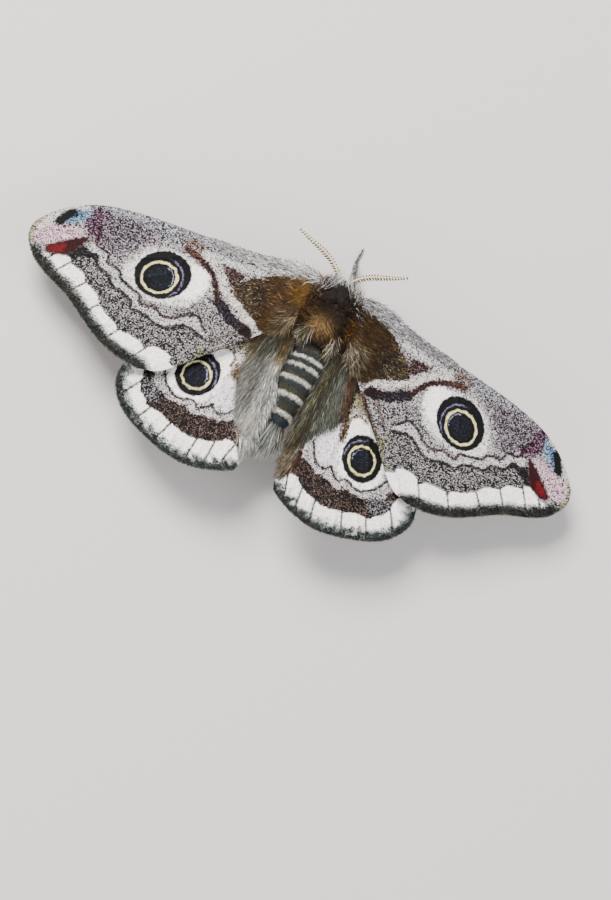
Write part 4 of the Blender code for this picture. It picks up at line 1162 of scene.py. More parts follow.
def leg_shape(path):
    bm = ringed_cylinder(14, 40)
    bend_onto(bm, path, [r * LEG_SCALE for r in LEG_RADII])
    return bm


def freeze(piece):
    """Apply every modifier, so that the mesh is what the modifiers made."""
    graph = bpy.context.evaluated_depsgraph_get()
    mesh = bpy.data.meshes.new_from_object(piece.evaluated_get(graph))
    old = piece.data
    piece.modifiers.clear()
    piece.data = mesh
    bpy.data.meshes.remove(old)
    return mesh


def melt(shapes, name, voxel):
    mesh = join_shapes(shapes, name)
    piece = bpy.data.objects.new(name, mesh)
    bpy.context.collection.objects.link(piece)
    remesh = piece.modifiers.new("melt", "REMESH")
    remesh.mode = "VOXEL"
    remesh.voxel_size = voxel
    smooth = piece.modifiers.new("round", "SMOOTH")
    smooth.factor = 0.5
    smooth.iterations = 5
    freeze(piece)
    piece.data.shade_smooth()
    return piece


NECK = [(0, 3.2, 5.6), (0, 4.0, 5.0), (0, 4.6, 4.5)]
neck = ringed_cylinder(20, 12)
bend_onto(neck, NECK, [1.5, 1.35, 1.2])
head_ball = ball(HEAD_CENTRE, [s - COAT_DEPTH["head"] for s in HEAD_SIZE])
skin = melt([body_shape(THORAX_RINGS, COAT_DEPTH["thorax"]), abdomen_skin(), head_ball, neck]
            + [leg_shape(path) for path in LEGS.values()], "body_skin", SKIN_VOXEL)
print("skin has", len(skin.data.polygons), "faces")

# %% [markdown]
# ## The body's colours
#
# Skin and hair carry the same markings, so one function gives the colour at any place
# on the body: a dark brown thorax with golden sides and a tan middle, a silver-blue
# collar, and an abdomen of slate and olive segments that each end in a white ring.

# %% Colour at a place on the body
def blend_colours(rows, mask, hex_colour):
    return rows + (linear(hex_colour) - rows) * mask[:, None]


def thorax_colour(spots):
    u, v, z = spots.T
    stray = 0.25 * wander(spots[:, :2], 1.6, 31)
    side = np.abs(u) + stray
    rows = np.tile(linear("#3E2C14"), (len(spots), 1))
    rows = blend_colours(rows, soft_step(side, 1.6, 2.8) * soft_step(z, 6.5, 7.5)
                         * soft_step(v, -1.0, 0.4), "#6E5220")
    middle = np.exp(-((u - 0.7) / 1.3) ** 2 - ((v + 0.9) / 1.3) ** 2)
    rows = blend_colours(rows, np.clip(1.2 * middle + 0.3 * stray, 0, 1), "#7E6A4A")
    front = soft_step(v + stray, 0.9, 2.2) * soft_step(z, 5.5, 7.0)
    front = front * (1 - soft_step(side, 1.8, 2.8))
    rows = blend_colours(rows, front, "#2E1C0A")
    rows = blend_colours(rows, 1 - soft_step(v + stray, -3.5, -2.6), "#2B2E30")
    collar = soft_step(v + 0.5 * stray, 4.1, 4.5)
    rows = blend_colours(rows, collar, "#A3A9B0")
    under = 1 - soft_step(z, 3.6, 5.0)
    return blend_colours(rows, under, "#8B8176")


def abdomen_colour(spots):
    u, v, z = spots.T
    stray = 0.05 * wander(spots[:, :2], 1.1, 41)
    bow = 0.10 * ((u - abdomen_lean(v)) / 2.5) ** 2
    v = v + stray + bow
    rows = np.tile(linear("#575341"), (len(spots), 1))
    for joint in ABDOMEN_JOINTS + [-4.6]:
        behind = np.exp(-((v - joint + 0.75) / 0.42) ** 2)
        rows = blend_colours(rows, 0.85 * behind, "#364049")
    tip = 1 - soft_step(v, -14.6, -13.4)
    rows = blend_colours(rows, tip, "#56636C")
    for joint, wide in zip(ABDOMEN_JOINTS, (0.06, 0.07, 0.12, 0.12, 0.14)):
        ring = 1 - soft_step(np.abs(v - joint), wide, wide + 0.26)
        rows = blend_colours(rows, ring, "#E9E6DC")
    rows = blend_colours(rows, 1 - soft_step(v, -16.4, -15.4), "#7B8388")
    under = 1 - soft_step(z, 3.2, 5.0)
    return blend_colours(rows, 0.8 * under, "#B4ADA0")


def body_colour(spots):
    """Linear colour at rows of (across, v, z) on the body."""
    spots = np.asarray(spots, float)
    v = spots[:, 1]
    rows = thorax_colour(spots)
    rear = 1 - soft_step(v, -4.6, -3.9)
    rows += (abdomen_colour(spots) - rows) * rear[:, None]
    face = soft_step(v, 4.0, 4.5) * (1 - soft_step(spots[:, 2], 5.3, 6.0))
    rows = blend_colours(rows, face, "#6A5A4C")
    leg = (1 - soft_step(spots[:, 2], 2.6, 3.4))
    return blend_colours(rows, leg, "#8F8C8B")


print("collar silver", [round(float(c), 2) for c in linear("#A3A9B0")])

# %% [markdown]
# ## A map of the skin
#
# Hair is easiest to keep in order by an unwrap of the skin's own shape: around the body
# one way and along it the other, with a strip for each leg. Every tuft later takes a
# tiny patch at its root's place on this map.

# %% Unwrap the body and colour the skin
LEG_STRIP = 0.24
LEG_REACH_MM, LEG_TOP_MM = 0.75, 3.3
MAP_LEG_TOP_MM = 3.4
BODY_AXIS_MM, BODY_REAR_MM, BODY_LONG_MM = 5.4, 17.5, 26
# The skin takes the body's colours darkened by this factor, as painted shade in the gaps of the
# coat.
SKIN_PAINTED_SHADE = 0.42


def leg_course(spots):
    """For each place the nearest leg, how far along it, the distance, and the angle."""
    best = np.full(len(spots), 9.0)
    which, along, angle = (np.zeros(len(spots)) for _ in range(3))
    for k, course in enumerate(LEG_COURSES):
        gap, part = line_distance(spots, course)
        near = gap < best
        off = spots - read_curve(part, LEG_AT, course)
        best[near], which[near], along[near] = gap[near], k, part[near]
        angle[near] = np.arctan2(off[near, 2], off[near, 0] + off[near, 1])
    return which, along, best, angle


def on_legs(spots):
    """True for each place that lies on a leg, below the body."""
    return (leg_course(spots)[2] < LEG_REACH_MM) & (spots[:, 2] < LEG_TOP_MM)


def body_map(spots):
    """Place of each spot on the map, in 0 to 1."""
    u, v, z = spots.T
    which, along, gap, turn = leg_course(spots)
    x = (np.arctan2(z - BODY_AXIS_MM, u - abdomen_lean(v)) / (2 * math.pi) + 0.25) % 1
    y = LEG_STRIP + 0.02 + (v + BODY_REAR_MM) / BODY_LONG_MM * (0.97 - LEG_STRIP)
    is_leg = (gap < LEG_REACH_MM) & (z < MAP_LEG_TOP_MM) & (along > 0.06)
    leg_x = (which + 0.08 + 0.84 * along) / len(LEGS)
    leg_y = 0.01 + (turn / (2 * math.pi) % 1) * (LEG_STRIP - 0.02)
    return np.stack([np.where(is_leg, leg_x, x), np.where(is_leg, leg_y, y)], -1)


def vertex_places(mesh):
    spots = np.empty(len(mesh.vertices) * 3, np.float32)
    mesh.vertices.foreach_get("co", spots)
    return from_frame(spots.reshape(-1, 3))


skin_places = vertex_places(skin.data)
store_colour(skin.data, body_colour(skin_places) * SKIN_PAINTED_SHADE)
lay_map(skin.data, body_map(skin_places))

# The skin is a matt shell, darker than the hair as painted shade, so that gaps in the coat look
# deep.
hide, hide_tree, hide_shader = new_material("moth_skin_under_hair")
hide_tree.links.new(read_attribute(hide_tree, "hair_colour", "Color"),
                    hide_shader.inputs["Base Color"])
hide_shader.inputs["Roughness"].default_value = 0.8
skin.data.materials.append(hide)
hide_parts("thorax", "head", "abdomen", *LEGS)
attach(skin, "root")
print("skin mapped and coloured")

# %% [markdown]
# ## Hair as mesh tufts
#
# Every hair tuft is a slim three-sided spike with one or two bends, made once with the
# cone operator and copied onto thousands of roots. Each copy knows the way out of the skin,
# the way that the coat lies, its length, width and curl. The copies of one zone are
# joined into one mesh, because loose particles would not survive an export.

# %% One tuft
TUFT_SIDES = 3


def tuft_shape(bends):
    """Places and faces of one spike of unit radius and length with some bends."""
    bm = bmesh.new()
    bmesh.ops.create_cone(bm, cap_ends=True, cap_tris=False, segments=TUFT_SIDES, radius1=1,
                          radius2=0, depth=1, matrix=Matrix.Translation((0, 0, 0.5)))
    slopes = [e for e in bm.edges if abs(e.verts[0].co.z - e.verts[1].co.z) > 0.5]
    bmesh.ops.subdivide_edges(bm, edges=slopes, cuts=bends)
    bmesh.ops.recalc_face_normals(bm, faces=bm.faces[:])
    places = np.array([v.co[:] for v in bm.verts])
    faces = [[v.index for v in f.verts] for f in bm.faces]
    bm.free()
    return places, faces


TUFTS = {bends: tuft_shape(bends) for bends in (1, 2)}
print("faces of a tuft by its bends:", {bends: len(TUFTS[bends][1]) for bends in TUFTS})

# %% A coat of tufts
# Every tuft has a little of the map around its root's place.
TUFT_ON_MAP = 0.0028
TUFT_SPREAD = 0.6
# The hair's stored colours are deepened for the same reason as the scales', and also as painted
# shade, for bristles that shade one another.
HAIR_POWER = 1.35


def unit(rows):
    return rows / np.maximum(np.linalg.norm(rows, axis=1, keepdims=True), 1e-9)


def rows_of(*columns):
    """Rows from columns, where a single number fills its whole column."""
    return np.stack(np.broadcast_arrays(*columns), -1).astype(float)


def coat(name, roots, out, lie, length, width, colour, patch, lift=0.3, curl=0.0,
         sink=0.15, tip_colour=None, slot="body_hair", seed=1, bends=1,
         spread=TUFT_SPREAD):
    """Join one tuft per root into a mesh. Places and sizes are in millimetres."""
    draw = np.random.default_rng(seed)
    count = len(roots)
    tuft, tuft_faces = TUFTS[bends]
    out, lie = unit(out), np.asarray(lie, float)
    lie = unit(lie - out * (lie * out).sum(1)[:, None])
    flat = np.cross(out, lie)
    lift = np.broadcast_to(lift, count) * draw.uniform(0.6, 1.4, count)
    curl = np.broadcast_to(curl, count) * draw.normal(0, 1, count)
    length = np.broadcast_to(length, count)[:, None, None]
    width = np.broadcast_to(width, count)[:, None, None]
    h = tuft[:, 2][None, :, None]
    radial = np.hypot(tuft[:, 0], tuft[:, 1])
    turn = np.arctan2(tuft[:, 1], tuft[:, 0])[None, :] + draw.uniform(0, 6.28, count)[:, None]
    swell = np.where(radial > 1e-6, 0.55 + 1.1 * h[0, :, 0] * (1 - h[0, :, 0]), 0)
    swell = swell * np.where(h[0, :, 0] > 0.6, 0.75, 1.0)
    spine = roots[:, None] - out[:, None] * sink
    spine = spine + lie[:, None] * length * h
    spine = spine + out[:, None] * (sink * np.minimum(2 * h, 1)
                                    + length * lift[:, None, None] * (h - 0.45 * h * h))
    spine = spine + flat[:, None] * length * curl[:, None, None] * h * h
    ring = (flat[:, None] * np.cos(turn)[..., None] * 1.25
            + out[:, None] * np.sin(turn)[..., None] * 0.8) * swell[None, :, None]
    spots = spine + ring * width
    rows = np.repeat(colour[:, None], len(tuft), 1)
    if tip_colour is not None:
        rows = rows + (tip_colour[:, None] - rows) * h
    spread = np.clip(np.exp(draw.normal(-0.1, spread, (count, 1, 1))), 0.25, 2.6)
    # Each tuft darkens towards its root: painted shade for the depths of the coat, where the hairs
    # shade one another.
    rows = rows ** HAIR_POWER * spread * (0.22 + 1.0 * h)
    faces = [[i + k * len(tuft) for i in face] for k in range(count) for face in tuft_faces]
    mesh = bpy.data.meshes.new(name)
    mesh.from_pydata(to_frame(spots.reshape(-1, 3)).astype(np.float32), [], faces)
    mesh.shade_smooth()
    store_colour(mesh, np.clip(rows.reshape(-1, 3), 0, 1))
    own = np.stack([0.5 + 0.5 * np.cos(turn), np.broadcast_to(tuft[:, 2], turn.shape)], -1)
    flat_places = np.clip(patch[:, None] + (own - 0.5) * TUFT_ON_MAP, 0.001, 0.999)
    lay_map(mesh, flat_places.reshape(-1, 2))
    add_piece(name, mesh, hair_finish, slot)
    print(name, count, "tufts,", count * sum(len(f) - 2 for f in tuft_faces), "triangles")


print("a tuft takes", TUFT_ON_MAP, "of the map's width")

# %% [markdown]
# ## The finish of hair
#
# Insect hair is a fine hollow bristle of chitin. One by one the bristles gleam along
# their length; together they look soft, so the finish is mostly matt, with a weak gloss.

# %% Hair material
hair_finish, hair_tree, hair_shader = new_material("chitin_bristle_hair")
hair_tree.links.new(read_attribute(hair_tree, "hair_colour", "Color"),
                    hair_shader.inputs["Base Color"])
hair_shader.inputs["Roughness"].default_value = 0.6
hair_shader.inputs["IOR"].default_value = 1.55
hair_shader.inputs["Specular IOR Level"].default_value = 0.25
print("hair finish", hair_finish.name)

# %% [markdown]
# ## Roots on the skin
#
# Roots are drawn evenly over the skin's triangles by area, with a seeded random draw,
# and each takes the skin's smooth normal. Zones then choose the roots that they need.
# The count keeps every coat under 200,000 triangles.

# %% Draw roots over the body
def draw_roots(mesh, count, seed):
    """Random places and normals over a mesh, in millimetres."""
    mesh.calc_loop_triangles()
    spots = vertex_places(mesh)
    normals = np.empty(len(mesh.vertices) * 3, np.float32)
    mesh.vertices.foreach_get("normal", normals)
    normals = normals.reshape(-1, 3) * np.array([1.0, -1.0, 1.0])
    tris = np.empty(len(mesh.loop_triangles) * 3, np.int32)
    mesh.loop_triangles.foreach_get("vertices", tris)
    tris = tris.reshape(-1, 3)
    a, b, c = (spots[tris[:, k]] for k in range(3))
    area = np.linalg.norm(np.cross(b - a, c - a), axis=1)
    draw = np.random.default_rng(seed)
    pick = draw.choice(len(tris), count, p=area / area.sum())
    mix = draw.dirichlet((1, 1, 1), count)
    at = tris[pick]
    roots = sum(spots[at[:, k]] * mix[:, k:k + 1] for k in range(3))
    out = unit(sum(normals[at[:, k]] * mix[:, k:k + 1] for k in range(3)))
    return roots, out


BODY_ROOTS = 40500
body_roots, body_out = draw_roots(skin.data, BODY_ROOTS, 101)
print(len(body_roots), "roots drawn over the skin")

# %% [markdown]
# ## The coat of the body
#
# The coat's lie is what makes it read. At the front of the thorax the hair leans ahead
# over the head, further back it sweeps to the rear, and a sideways swirl joins the two.
# In the middle it curls. On the abdomen it lies close and points to the tail, a little
# higher at each white ring, and the legs are fringed.

# %% Thorax, collar and head
def by_zone(chosen):
    return body_roots[chosen], body_out[chosen]


root_v = body_roots[:, 1]
on_leg = on_legs(body_roots)
on_abdomen = (root_v < -4.1) & ~on_leg
on_head = (root_v > 3.9) & ~on_leg
on_thorax = ~on_leg & ~on_abdomen & ~on_head
# The four coats below draw from this one in turn.
random_draw = np.random.default_rng(5)


def thorax_coat():
    roots, out = by_zone(on_thorax)
    u, v, z = roots.T
    top = soft_step(z, 5.5, 7.0)
    ahead = soft_step(v, 1.2, 2.6)
    lie = np.stack([0.35 * u + np.sin(np.pi * ahead), 2.0 * ahead - 1.0,
                    0.25 * ahead - 0.15], -1)
    lie += 0.18 * random_draw.normal(size=lie.shape)
    middle = np.exp(-((u - 0.7) / 1.4) ** 2 - ((v + 0.9) / 1.4) ** 2) * top
    length = 1.25 + 0.7 * top * soft_step(np.abs(u), 1.2, 2.8) + 0.7 * ahead * top
    length = length * (0.5 + 0.5 * soft_step(v, -3.6, -2.4))
    shades = body_colour(roots)
    coat("thorax_hair", roots, out, lie, length * random_draw.uniform(0.7, 1.2, len(u)),
         0.048, shades, body_map(roots), lift=0.38 + 0.3 * middle,
         curl=0.22 + 0.9 * middle, sink=0.2, seed=201, bends=2,
         tip_colour=shades * (1.1 + 0.7 * middle[:, None]))


def head_coat():
    roots, out = by_zone(on_head)
    eyes = np.array([[s * EYE_CENTRE[0], EYE_CENTRE[1], EYE_CENTRE[2]] for s in (-1, 1)])
    clear = np.min([np.linalg.norm(roots - eye, axis=1) for eye in eyes], 0) > EYE_RADIUS
    roots, out = roots[clear], out[clear]
    lie = rows_of(0.1 * roots[:, 0], 0.35, -0.8)
    lie += 0.2 * random_draw.normal(size=lie.shape)
    coat("head_hair", roots, out, lie, random_draw.uniform(0.35, 0.7, len(roots)), 0.04,
         body_colour(roots), body_map(roots), lift=0.5, curl=0.2, sink=0.1, seed=202)


thorax_coat()
head_coat()

# %% Abdomen and tail
def abdomen_coat():
    roots, out = by_zone(on_abdomen)
    v, count = roots[:, 1], len(roots)
    across = 0.05 * random_draw.normal(size=count) + 0.07
    lie = rows_of(across, -1.0, 0.04 * random_draw.normal(size=count))
    fringe = np.zeros(count)
    for joint in ABDOMEN_JOINTS:
        fringe = np.maximum(fringe, np.exp(-((v - joint - 0.2) / 0.3) ** 2))
    length = 0.5 + 0.15 * fringe
    shades = body_colour(roots + np.array([0.0, -1.0, 0.0]) * 0.55 * length[:, None])
    coat("abdomen_hair", roots, out, lie, length, 0.05, shades, body_map(roots),
         lift=0.16 + 0.2 * fringe, curl=0.12, sink=0.12, seed=203, slot="abdomen_hair",
         spread=0.3)


abdomen_coat()

# %% Legs
def leg_coat():
    roots, out = by_zone(on_leg)
    which, along, _, _ = leg_course(roots)
    lie = np.zeros_like(roots)
    for k, course in enumerate(LEG_COURSES):
        here = which == k
        lie[here] = read_curve(along[here], LEG_AT, unit(np.gradient(course, axis=0)))
    lie += 0.25 * random_draw.normal(size=lie.shape)
    shades = body_colour(roots) * random_draw.choice([0.35, 0.9, 1.5], (len(roots), 1))
    length = np.interp(along, [0, 0.5, 0.75, 1], [0.8, 0.6, 0.4, 0.22])
    coat("leg_hair", roots, out, lie, length, 0.04, shades, body_map(roots), lift=0.6,
         curl=0.15, sink=0.08, seed=204, slot="leg_hair")


leg_coat()

# %% [markdown]
# ## Long hair over the wing roots
#
# Where the wings leave the body, long hair hides the joint: silver hair along the front
# edge that runs on from the collar, golden-brown hair over the forewing's root, and a
# veil of olive, silver and rusty hair over the inner third of the hindwing. The two
# sides differ in colour, as they do in the photograph.

# %% Roots on a wing's plan
def zone_roots(zone, count, seed):
    """Random plan places inside a smooth zone."""
    ring = smooth_curve(zone, 4, closed=True)
    low, high = ring.min(0), ring.max(0)
    draw = np.random.default_rng(seed)
    spots = draw.uniform(low, high, (count * 4, 2))
    spots = spots[inside(spots, ring)]
    return spots[:count]


def wing_up(side, count):
    """The way out of a wing's upper face, once for each root."""
    return rows_of(0.06 * side, 0.05, np.ones(count))


def wing_patch(kind, plan):
    """Map places of roots on a wing's upper face."""
    return np.clip(wing_map(kind, plan, TOP_BASE), 0.003, 0.997)


def wing_hair(name, kind, side, plan, lie, length, width, colour, lift, curl, seed):
    """Hair rooted on the upper face of a wing."""
    u, v = plan.T
    roots = np.stack([u * side, v, WING_HEIGHT[kind](u, v) + SHEET_HALF_MM], -1)
    way = np.stack([lie[:, 0] * side, lie[:, 1], -0.06 * np.abs(lie[:, 0])], -1)
    coat(name + "_" + letter_of(side), roots, wing_up(side, len(plan)), way, length, width,
         colour, wing_patch(kind, plan), lift=lift, curl=curl, seed=seed)


print("wing hair starts", SHEET_HALF_MM, "mm above the middle of the membrane")


# %% Hair over the forewing's root and along its front edge
def shades_of(names, weights, count, seed):
    """Draw a hair colour for each tuft from a few named ones."""
    draw = np.random.default_rng(seed)
    palette = np.array([linear(name) for name in names])
    return palette[draw.choice(len(names), count, p=np.array(weights) / sum(weights))]


FORE_ROOT_ZONE = [(3.0, 3.3), (5, 2.6), (7.6, 1.9), (9.6, 0.8), (11.0, -0.4), (11.9, -1.7),
                  (11.2, -2.7), (9.6, -3.4), (8.1, -4.0), (6.8, -4.9), (5.4, -4.4),
                  (3.6, -2.2)]
COSTA_ZONE = [(2.5, 4.3), (4.0, 4.75), (6.0, 4.5), (8.6, 3.9), (13, 3.2), (17, 2.7), (15, 2.0),
              (9.5, 2.0), (6.5, 2.6), (4.4, 3.1), (2.6, 3.4)]


def fore_root_hair(side):
    plan = zone_roots(FORE_ROOT_ZONE, 11000, 301 + side)
    u, v = plan.T
    draw = np.random.default_rng(311 + side)
    lie = np.stack([u - 0.5, 0.55 * (v - 1.0) - 0.9], -1)
    lie += 0.8 * draw.normal(size=lie.shape)
    golden = 1 - soft_step(u + 0.8 * wander(plan, 1.6, 61), 6.0, 9.0)
    rear = (1 - soft_step(v, -1.8, -0.2)) * (1 - soft_step(u, 4.4, 6.2))
    lie += rear[:, None] * np.array([-0.5, -3.0])
    deep = np.exp(-((u - 9.3) / 2.0) ** 2 - ((v + 1.6) / 1.3) ** 2)
    rows = shades_of(["#3E2C12", "#1E150A", "#63491C"], [3, 4, 2], len(plan), 321 + side)
    rows = blend_colours(rows, 0.4 * golden, "#73561E")
    if side == LEFT:
        rows = blend_colours(rows, 0.5 * (1 - soft_step(u, 3.5, 5.5)) * soft_step(v, -0.6, 0.8),
                             "#8A6A1C")
    rows = blend_colours(rows, 0.6 * deep, "#1E140C")
    grey = shades_of(["#A59A84", "#5A5240", "#2E281C", "#C4BCAA"], [3, 3, 2, 1], len(plan),
                     325 + side)
    rows += (grey - rows) * ((0.5 if side == LEFT else 0.9) * rear)[:, None]
    pale = draw.uniform(size=len(plan)) < 0.04 + 0.16 * soft_step(u, 7.5, 11.0)
    rows = blend_colours(rows, pale * 0.8, "#A89A7E")
    length = 1.5 - 1.0 * soft_step(u, 5.5, 9.0) + 1.0 * rear
    wing_hair("forewing_root_hair", "forewing", side, plan, lie,
              length * draw.uniform(0.5, 1.1, len(plan)), 0.045, rows, 0.24, 0.3,
              331 + side)


def costa_hair(side):
    plan = zone_roots(COSTA_ZONE, 5200, 341 + side)
    u = plan[:, 0]
    draw = np.random.default_rng(351 + side)
    lie = rows_of(np.ones(len(plan)), -0.12) + 0.22 * draw.normal(size=plan.shape)
    rows = shades_of(["#DCDAD9", "#A9A6A7", "#5F5C60", "#F2F1EE"], [3, 3, 3, 2], len(plan),
                     361 + side)
    rows = blend_colours(rows, 0.45 * soft_step(u, 7, 12), "#8B8686")
    length = (1.3 - 0.7 * soft_step(u, 5, 12)) * draw.uniform(0.7, 1.2, len(plan))
    wing_hair("costal_hair", "forewing", side, plan, lie, length, 0.042, rows, 0.25, 0.2,
              371 + side)


for side in (LEFT, RIGHT):
    fore_root_hair(side)
    costa_hair(side)

# %% Long hair on the inner part of the hindwings
HIND_VEIL = {
    LEFT: [(2.8, -1.6), (6.2, -2.4), (6.6, -5.0), (6.4, -8.0), (6.1, -11.0), (5.4, -13.0),
           (4.6, -15.6), (3.0, -16.5), (2.9, -14.0), (3.0, -9.0), (2.8, -4.5)],
    RIGHT: [(2.6, -1.6), (6.0, -2.4), (6.4, -5.0), (6.4, -8.0), (5.6, -10.4), (4.4, -12.0),
            (3.2, -13.8), (2.2, -15.6), (2.0, -13.0), (2.2, -8.0), (2.5, -4.5)],
}
INNER_FRINGE_COLOURS = {LEFT: ["#D8D6D2", "#A9A8A2", "#63625A"],
                        RIGHT: ["#8A8474", "#4A4636", "#6A4A2E"]}


def veil_colour(u, v, side, draw):
    """Hair colour over the hindwing's inner part, from the body outward."""
    u = u + 0.15 * draw.normal(size=len(u))
    rows = shades_of(["#605F50", "#383831", "#8A877A"], [3, 3, 2], len(u), 381 + side)
    if side == LEFT:
        rows = blend_colours(rows, np.exp(-((u - 3.5) / 0.75) ** 2) * soft_step(-v, 4, 7),
                             "#C6C5BF")
        rows = blend_colours(rows, np.exp(-((u - 3.3) / 0.3) ** 2)
                             * (1 - soft_step(-v, 5, 7.5)), "#7A6224")
        rows = blend_colours(rows, 0.8 * np.exp(-((u - 6.3) / 0.25) ** 2), "#7A6034")
        rows = blend_colours(rows, 0.8 * soft_step(-v, 11.5, 15), "#CFCBC4")
        rows = blend_colours(rows, 0.6 * soft_step(-v, 5.0, 8.0) * soft_step(u, 3.8, 5.4),
                             "#A9A8A3")
    else:
        line = 3.25 - 0.07 * (-v - 3)
        rows = blend_colours(rows, 0.8 * np.exp(-((u - line) / 0.1) ** 2), "#857A44")
        rows = blend_colours(rows, 0.9 * np.exp(-((u - line - 0.5) / 0.25) ** 2), "#35341F")
        rows = blend_colours(rows, 0.75 * np.exp(-((u - 4.9) / 0.8) ** 2), "#7E8278")
        rust = 5.6 + 0.24 * (-v - 4)
        rows = blend_colours(rows, 0.85 * np.exp(-((u - rust) / 0.5) ** 2), "#6B452C")
    patch = np.exp(-((u - 3.1) / 1.1) ** 2 - ((v + 17.6) / 2.2) ** 2)
    rows = blend_colours(rows, (0.9 if side == RIGHT else 0.35) * patch, "#5E3617")
    return blend_colours(rows, 0.7 * (1 - soft_step(-v, 1.6, 3.2)), "#3E3220")


print("a veil's zone has", len(HIND_VEIL[LEFT]), "places on the left")


# %% Lay the veil and the inner fringe
def hind_veil(side):
    plan = zone_roots(HIND_VEIL[side], 9500, 391 + side)
    u, v = plan.T
    draw = np.random.default_rng(401 + side)
    lie = rows_of(0.10 * (u - 3.4) - 0.02, -1.0)
    lie += 0.09 * draw.normal(size=lie.shape)
    length = draw.uniform(1.6, 3.4, len(plan)) * (1 - 0.35 * soft_step(-v, 13, 18))
    wing_hair("hindwing_veil", "hindwing", side, plan, lie, length, 0.036,
              veil_colour(u, v, side, draw), 0.09, 0.07, 411 + side)


def inner_fringe(side):
    """Long hair along the hindwing's inner edge, which closes the gap beside the tail."""
    zone = [(2.3, -10.5), (3.7, -10.5), (3.9, -18.6), (2.6, -18.6)]
    plan = zone_roots(zone, 2200, 421 + side)
    draw = np.random.default_rng(431 + side)
    lie = rows_of(np.full(len(plan), -0.42), -1.0) + 0.12 * draw.normal(size=plan.shape)
    rows = shades_of(INNER_FRINGE_COLOURS[side], [3, 3, 2], len(plan), 441 + side)
    wing_hair("inner_fringe", "hindwing", side, plan, lie,
              draw.uniform(1.4, 2.8, len(plan)), 0.038, rows, 0.06, 0.07, 451 + side)


for side in (LEFT, RIGHT):
    hind_veil(side)
    inner_fringe(side)

# %% [markdown]
# ## Collar, shoulders and tail
#
# Longer hair grows out of a second set of roots. Dark hair at the nape leans over the
# head, a silver collar and ruff stand behind it, brown hair fills the sides of the neck,
# the shoulders throw long golden-brown hair over the wing roots, pale and dark hair
# trails from the flanks, and the abdomen ends in a silver brush. Each coat takes the
# roots between two places along the body, above some height.

# %% Collar, shoulder and tail hair
SPARE_ROOTS = 72000
ANYWHERE = -99.0
spare_roots, spare_out = draw_roots(skin.data, SPARE_ROOTS, 102)
spare_u, spare_v, spare_z = spare_roots.T
spare_leg = on_legs(spare_roots)


def spare_zone(rear, front, low, beyond=ANYWHERE, side=None):
    """Which spare roots to take; `beyond` is how far from the midline they begin."""
    off = spare_u * side if side else np.abs(spare_u)
    return ((off > beyond) & (spare_v > rear) & (spare_v < front) & (spare_z > low)
            & ~spare_leg)


def chosen_hair(name, chosen, lie, length, width, colours, weights, lift, curl, seed,
                slot="body_hair", wild=0.2, level=False):
    """A coat on some of the spare roots, in a few drawn colours."""
    roots, out = spare_roots[chosen], spare_out[chosen]
    if level:
        out = rows_of(0.0, 0.0, np.ones(len(roots)))
    draw = np.random.default_rng(seed)
    way = lie(*roots.T) + wild * draw.normal(size=roots.shape)
    rows = shades_of(colours, weights, len(roots), seed + 1)
    coat(name, roots, out, way, length * draw.uniform(0.65, 1.2, len(roots)), width, rows,
         body_map(roots), lift=lift, curl=curl, sink=0.2, seed=seed + 2, slot=slot, bends=2)


NECK_COLOURS = {LEFT: ["#6E5220", "#4A3616", "#2E2010"],
                RIGHT: ["#3E2C14", "#2E2010", "#5E4A1E"]}
chosen_hair("nape_hair", spare_zone(1.4, 3.6, 6.6), lambda u, v, z: rows_of(0.75 * u, 1.0, 0.0),
            2.5, 0.05, ["#2E2010", "#1E140A", "#4A3618"], [3, 3, 1], 0.30, 0.2, 531)
chosen_hair("collar_hair", spare_zone(3.3, 5.1, 4.9), lambda u, v, z: rows_of(0.7 * u, 0.9, -0.1),
            1.5, 0.036, ["#DDDEE0", "#A6A8AC", "#666A70", "#F2F2F0"], [3, 3, 2, 2], 0.34, 0.3,
            501)
chosen_hair("ruff_hair", spare_zone(2.4, 4.6, 5.2, beyond=1.0),
            lambda u, v, z: rows_of(np.sign(u), 0.7, 0.1), 2.9, 0.037,
            ["#DDDEE0", "#A6A8AC", "#55524F", "#F2F2F0"], [3, 3, 2, 2], 0.22, 0.3, 541)
for side in (LEFT, RIGHT):
    chosen_hair("neck_hair_" + letter_of(side), spare_zone(1.2, 4.0, 5.4, 0.8, side),
                lambda u, v, z: rows_of(np.sign(u), 0.55, 0.0), 3.3, 0.046,
                NECK_COLOURS[side], [3, 3, 2], 0.3, 0.2, 561 + side)
chosen_hair("flank_hair", spare_zone(-3.8, -0.8, 6.6, beyond=1.0),
            lambda u, v, z: rows_of(0.55 * np.sign(u), -1.0, 0.0), 3.2, 0.042,
            ["#B9AE98", "#6E6552", "#2E281C", "#D2CCBE"], [3, 3, 4, 1], 0.22, 0.2, 551)
chosen_hair("shoulder_hair", spare_zone(-1.6, 3.3, 5.6, beyond=1.3),
            lambda u, v, z: rows_of(np.sign(u), -0.25 + 0.1 * v, 0.0), 3.0, 0.048,
            ["#6E5220", "#4A3616", "#2A1E0C", "#94702A"], [3, 3, 3, 1], 0.18, 0.2, 511)
chosen_hair("tail_hair", spare_zone(ANYWHERE, -14.4, ANYWHERE),
            lambda u, v, z: rows_of(0.02 + 0.10 * u, -1.0, 0.0), 3.6, 0.040,
            ["#DADAD6", "#B2B3B0", "#6E706C", "#8A7250"], [4, 3, 3, 1], 0.05, 0.06, 521,
            slot="abdomen_hair", wild=0.09, level=True)

# %% [markdown]
# ## The fringe of the wings
#
# The outer edge of a moth's wing is not cut clean: it ends in one or two rows of long
# narrow scales. They are tufts too, set along the edge and pointing outward.

# %% Fringe scales
FRINGE_PER_MM = 26
FRINGE_LONG_MM = 0.3
FRINGE_INSET_MM = 0.12


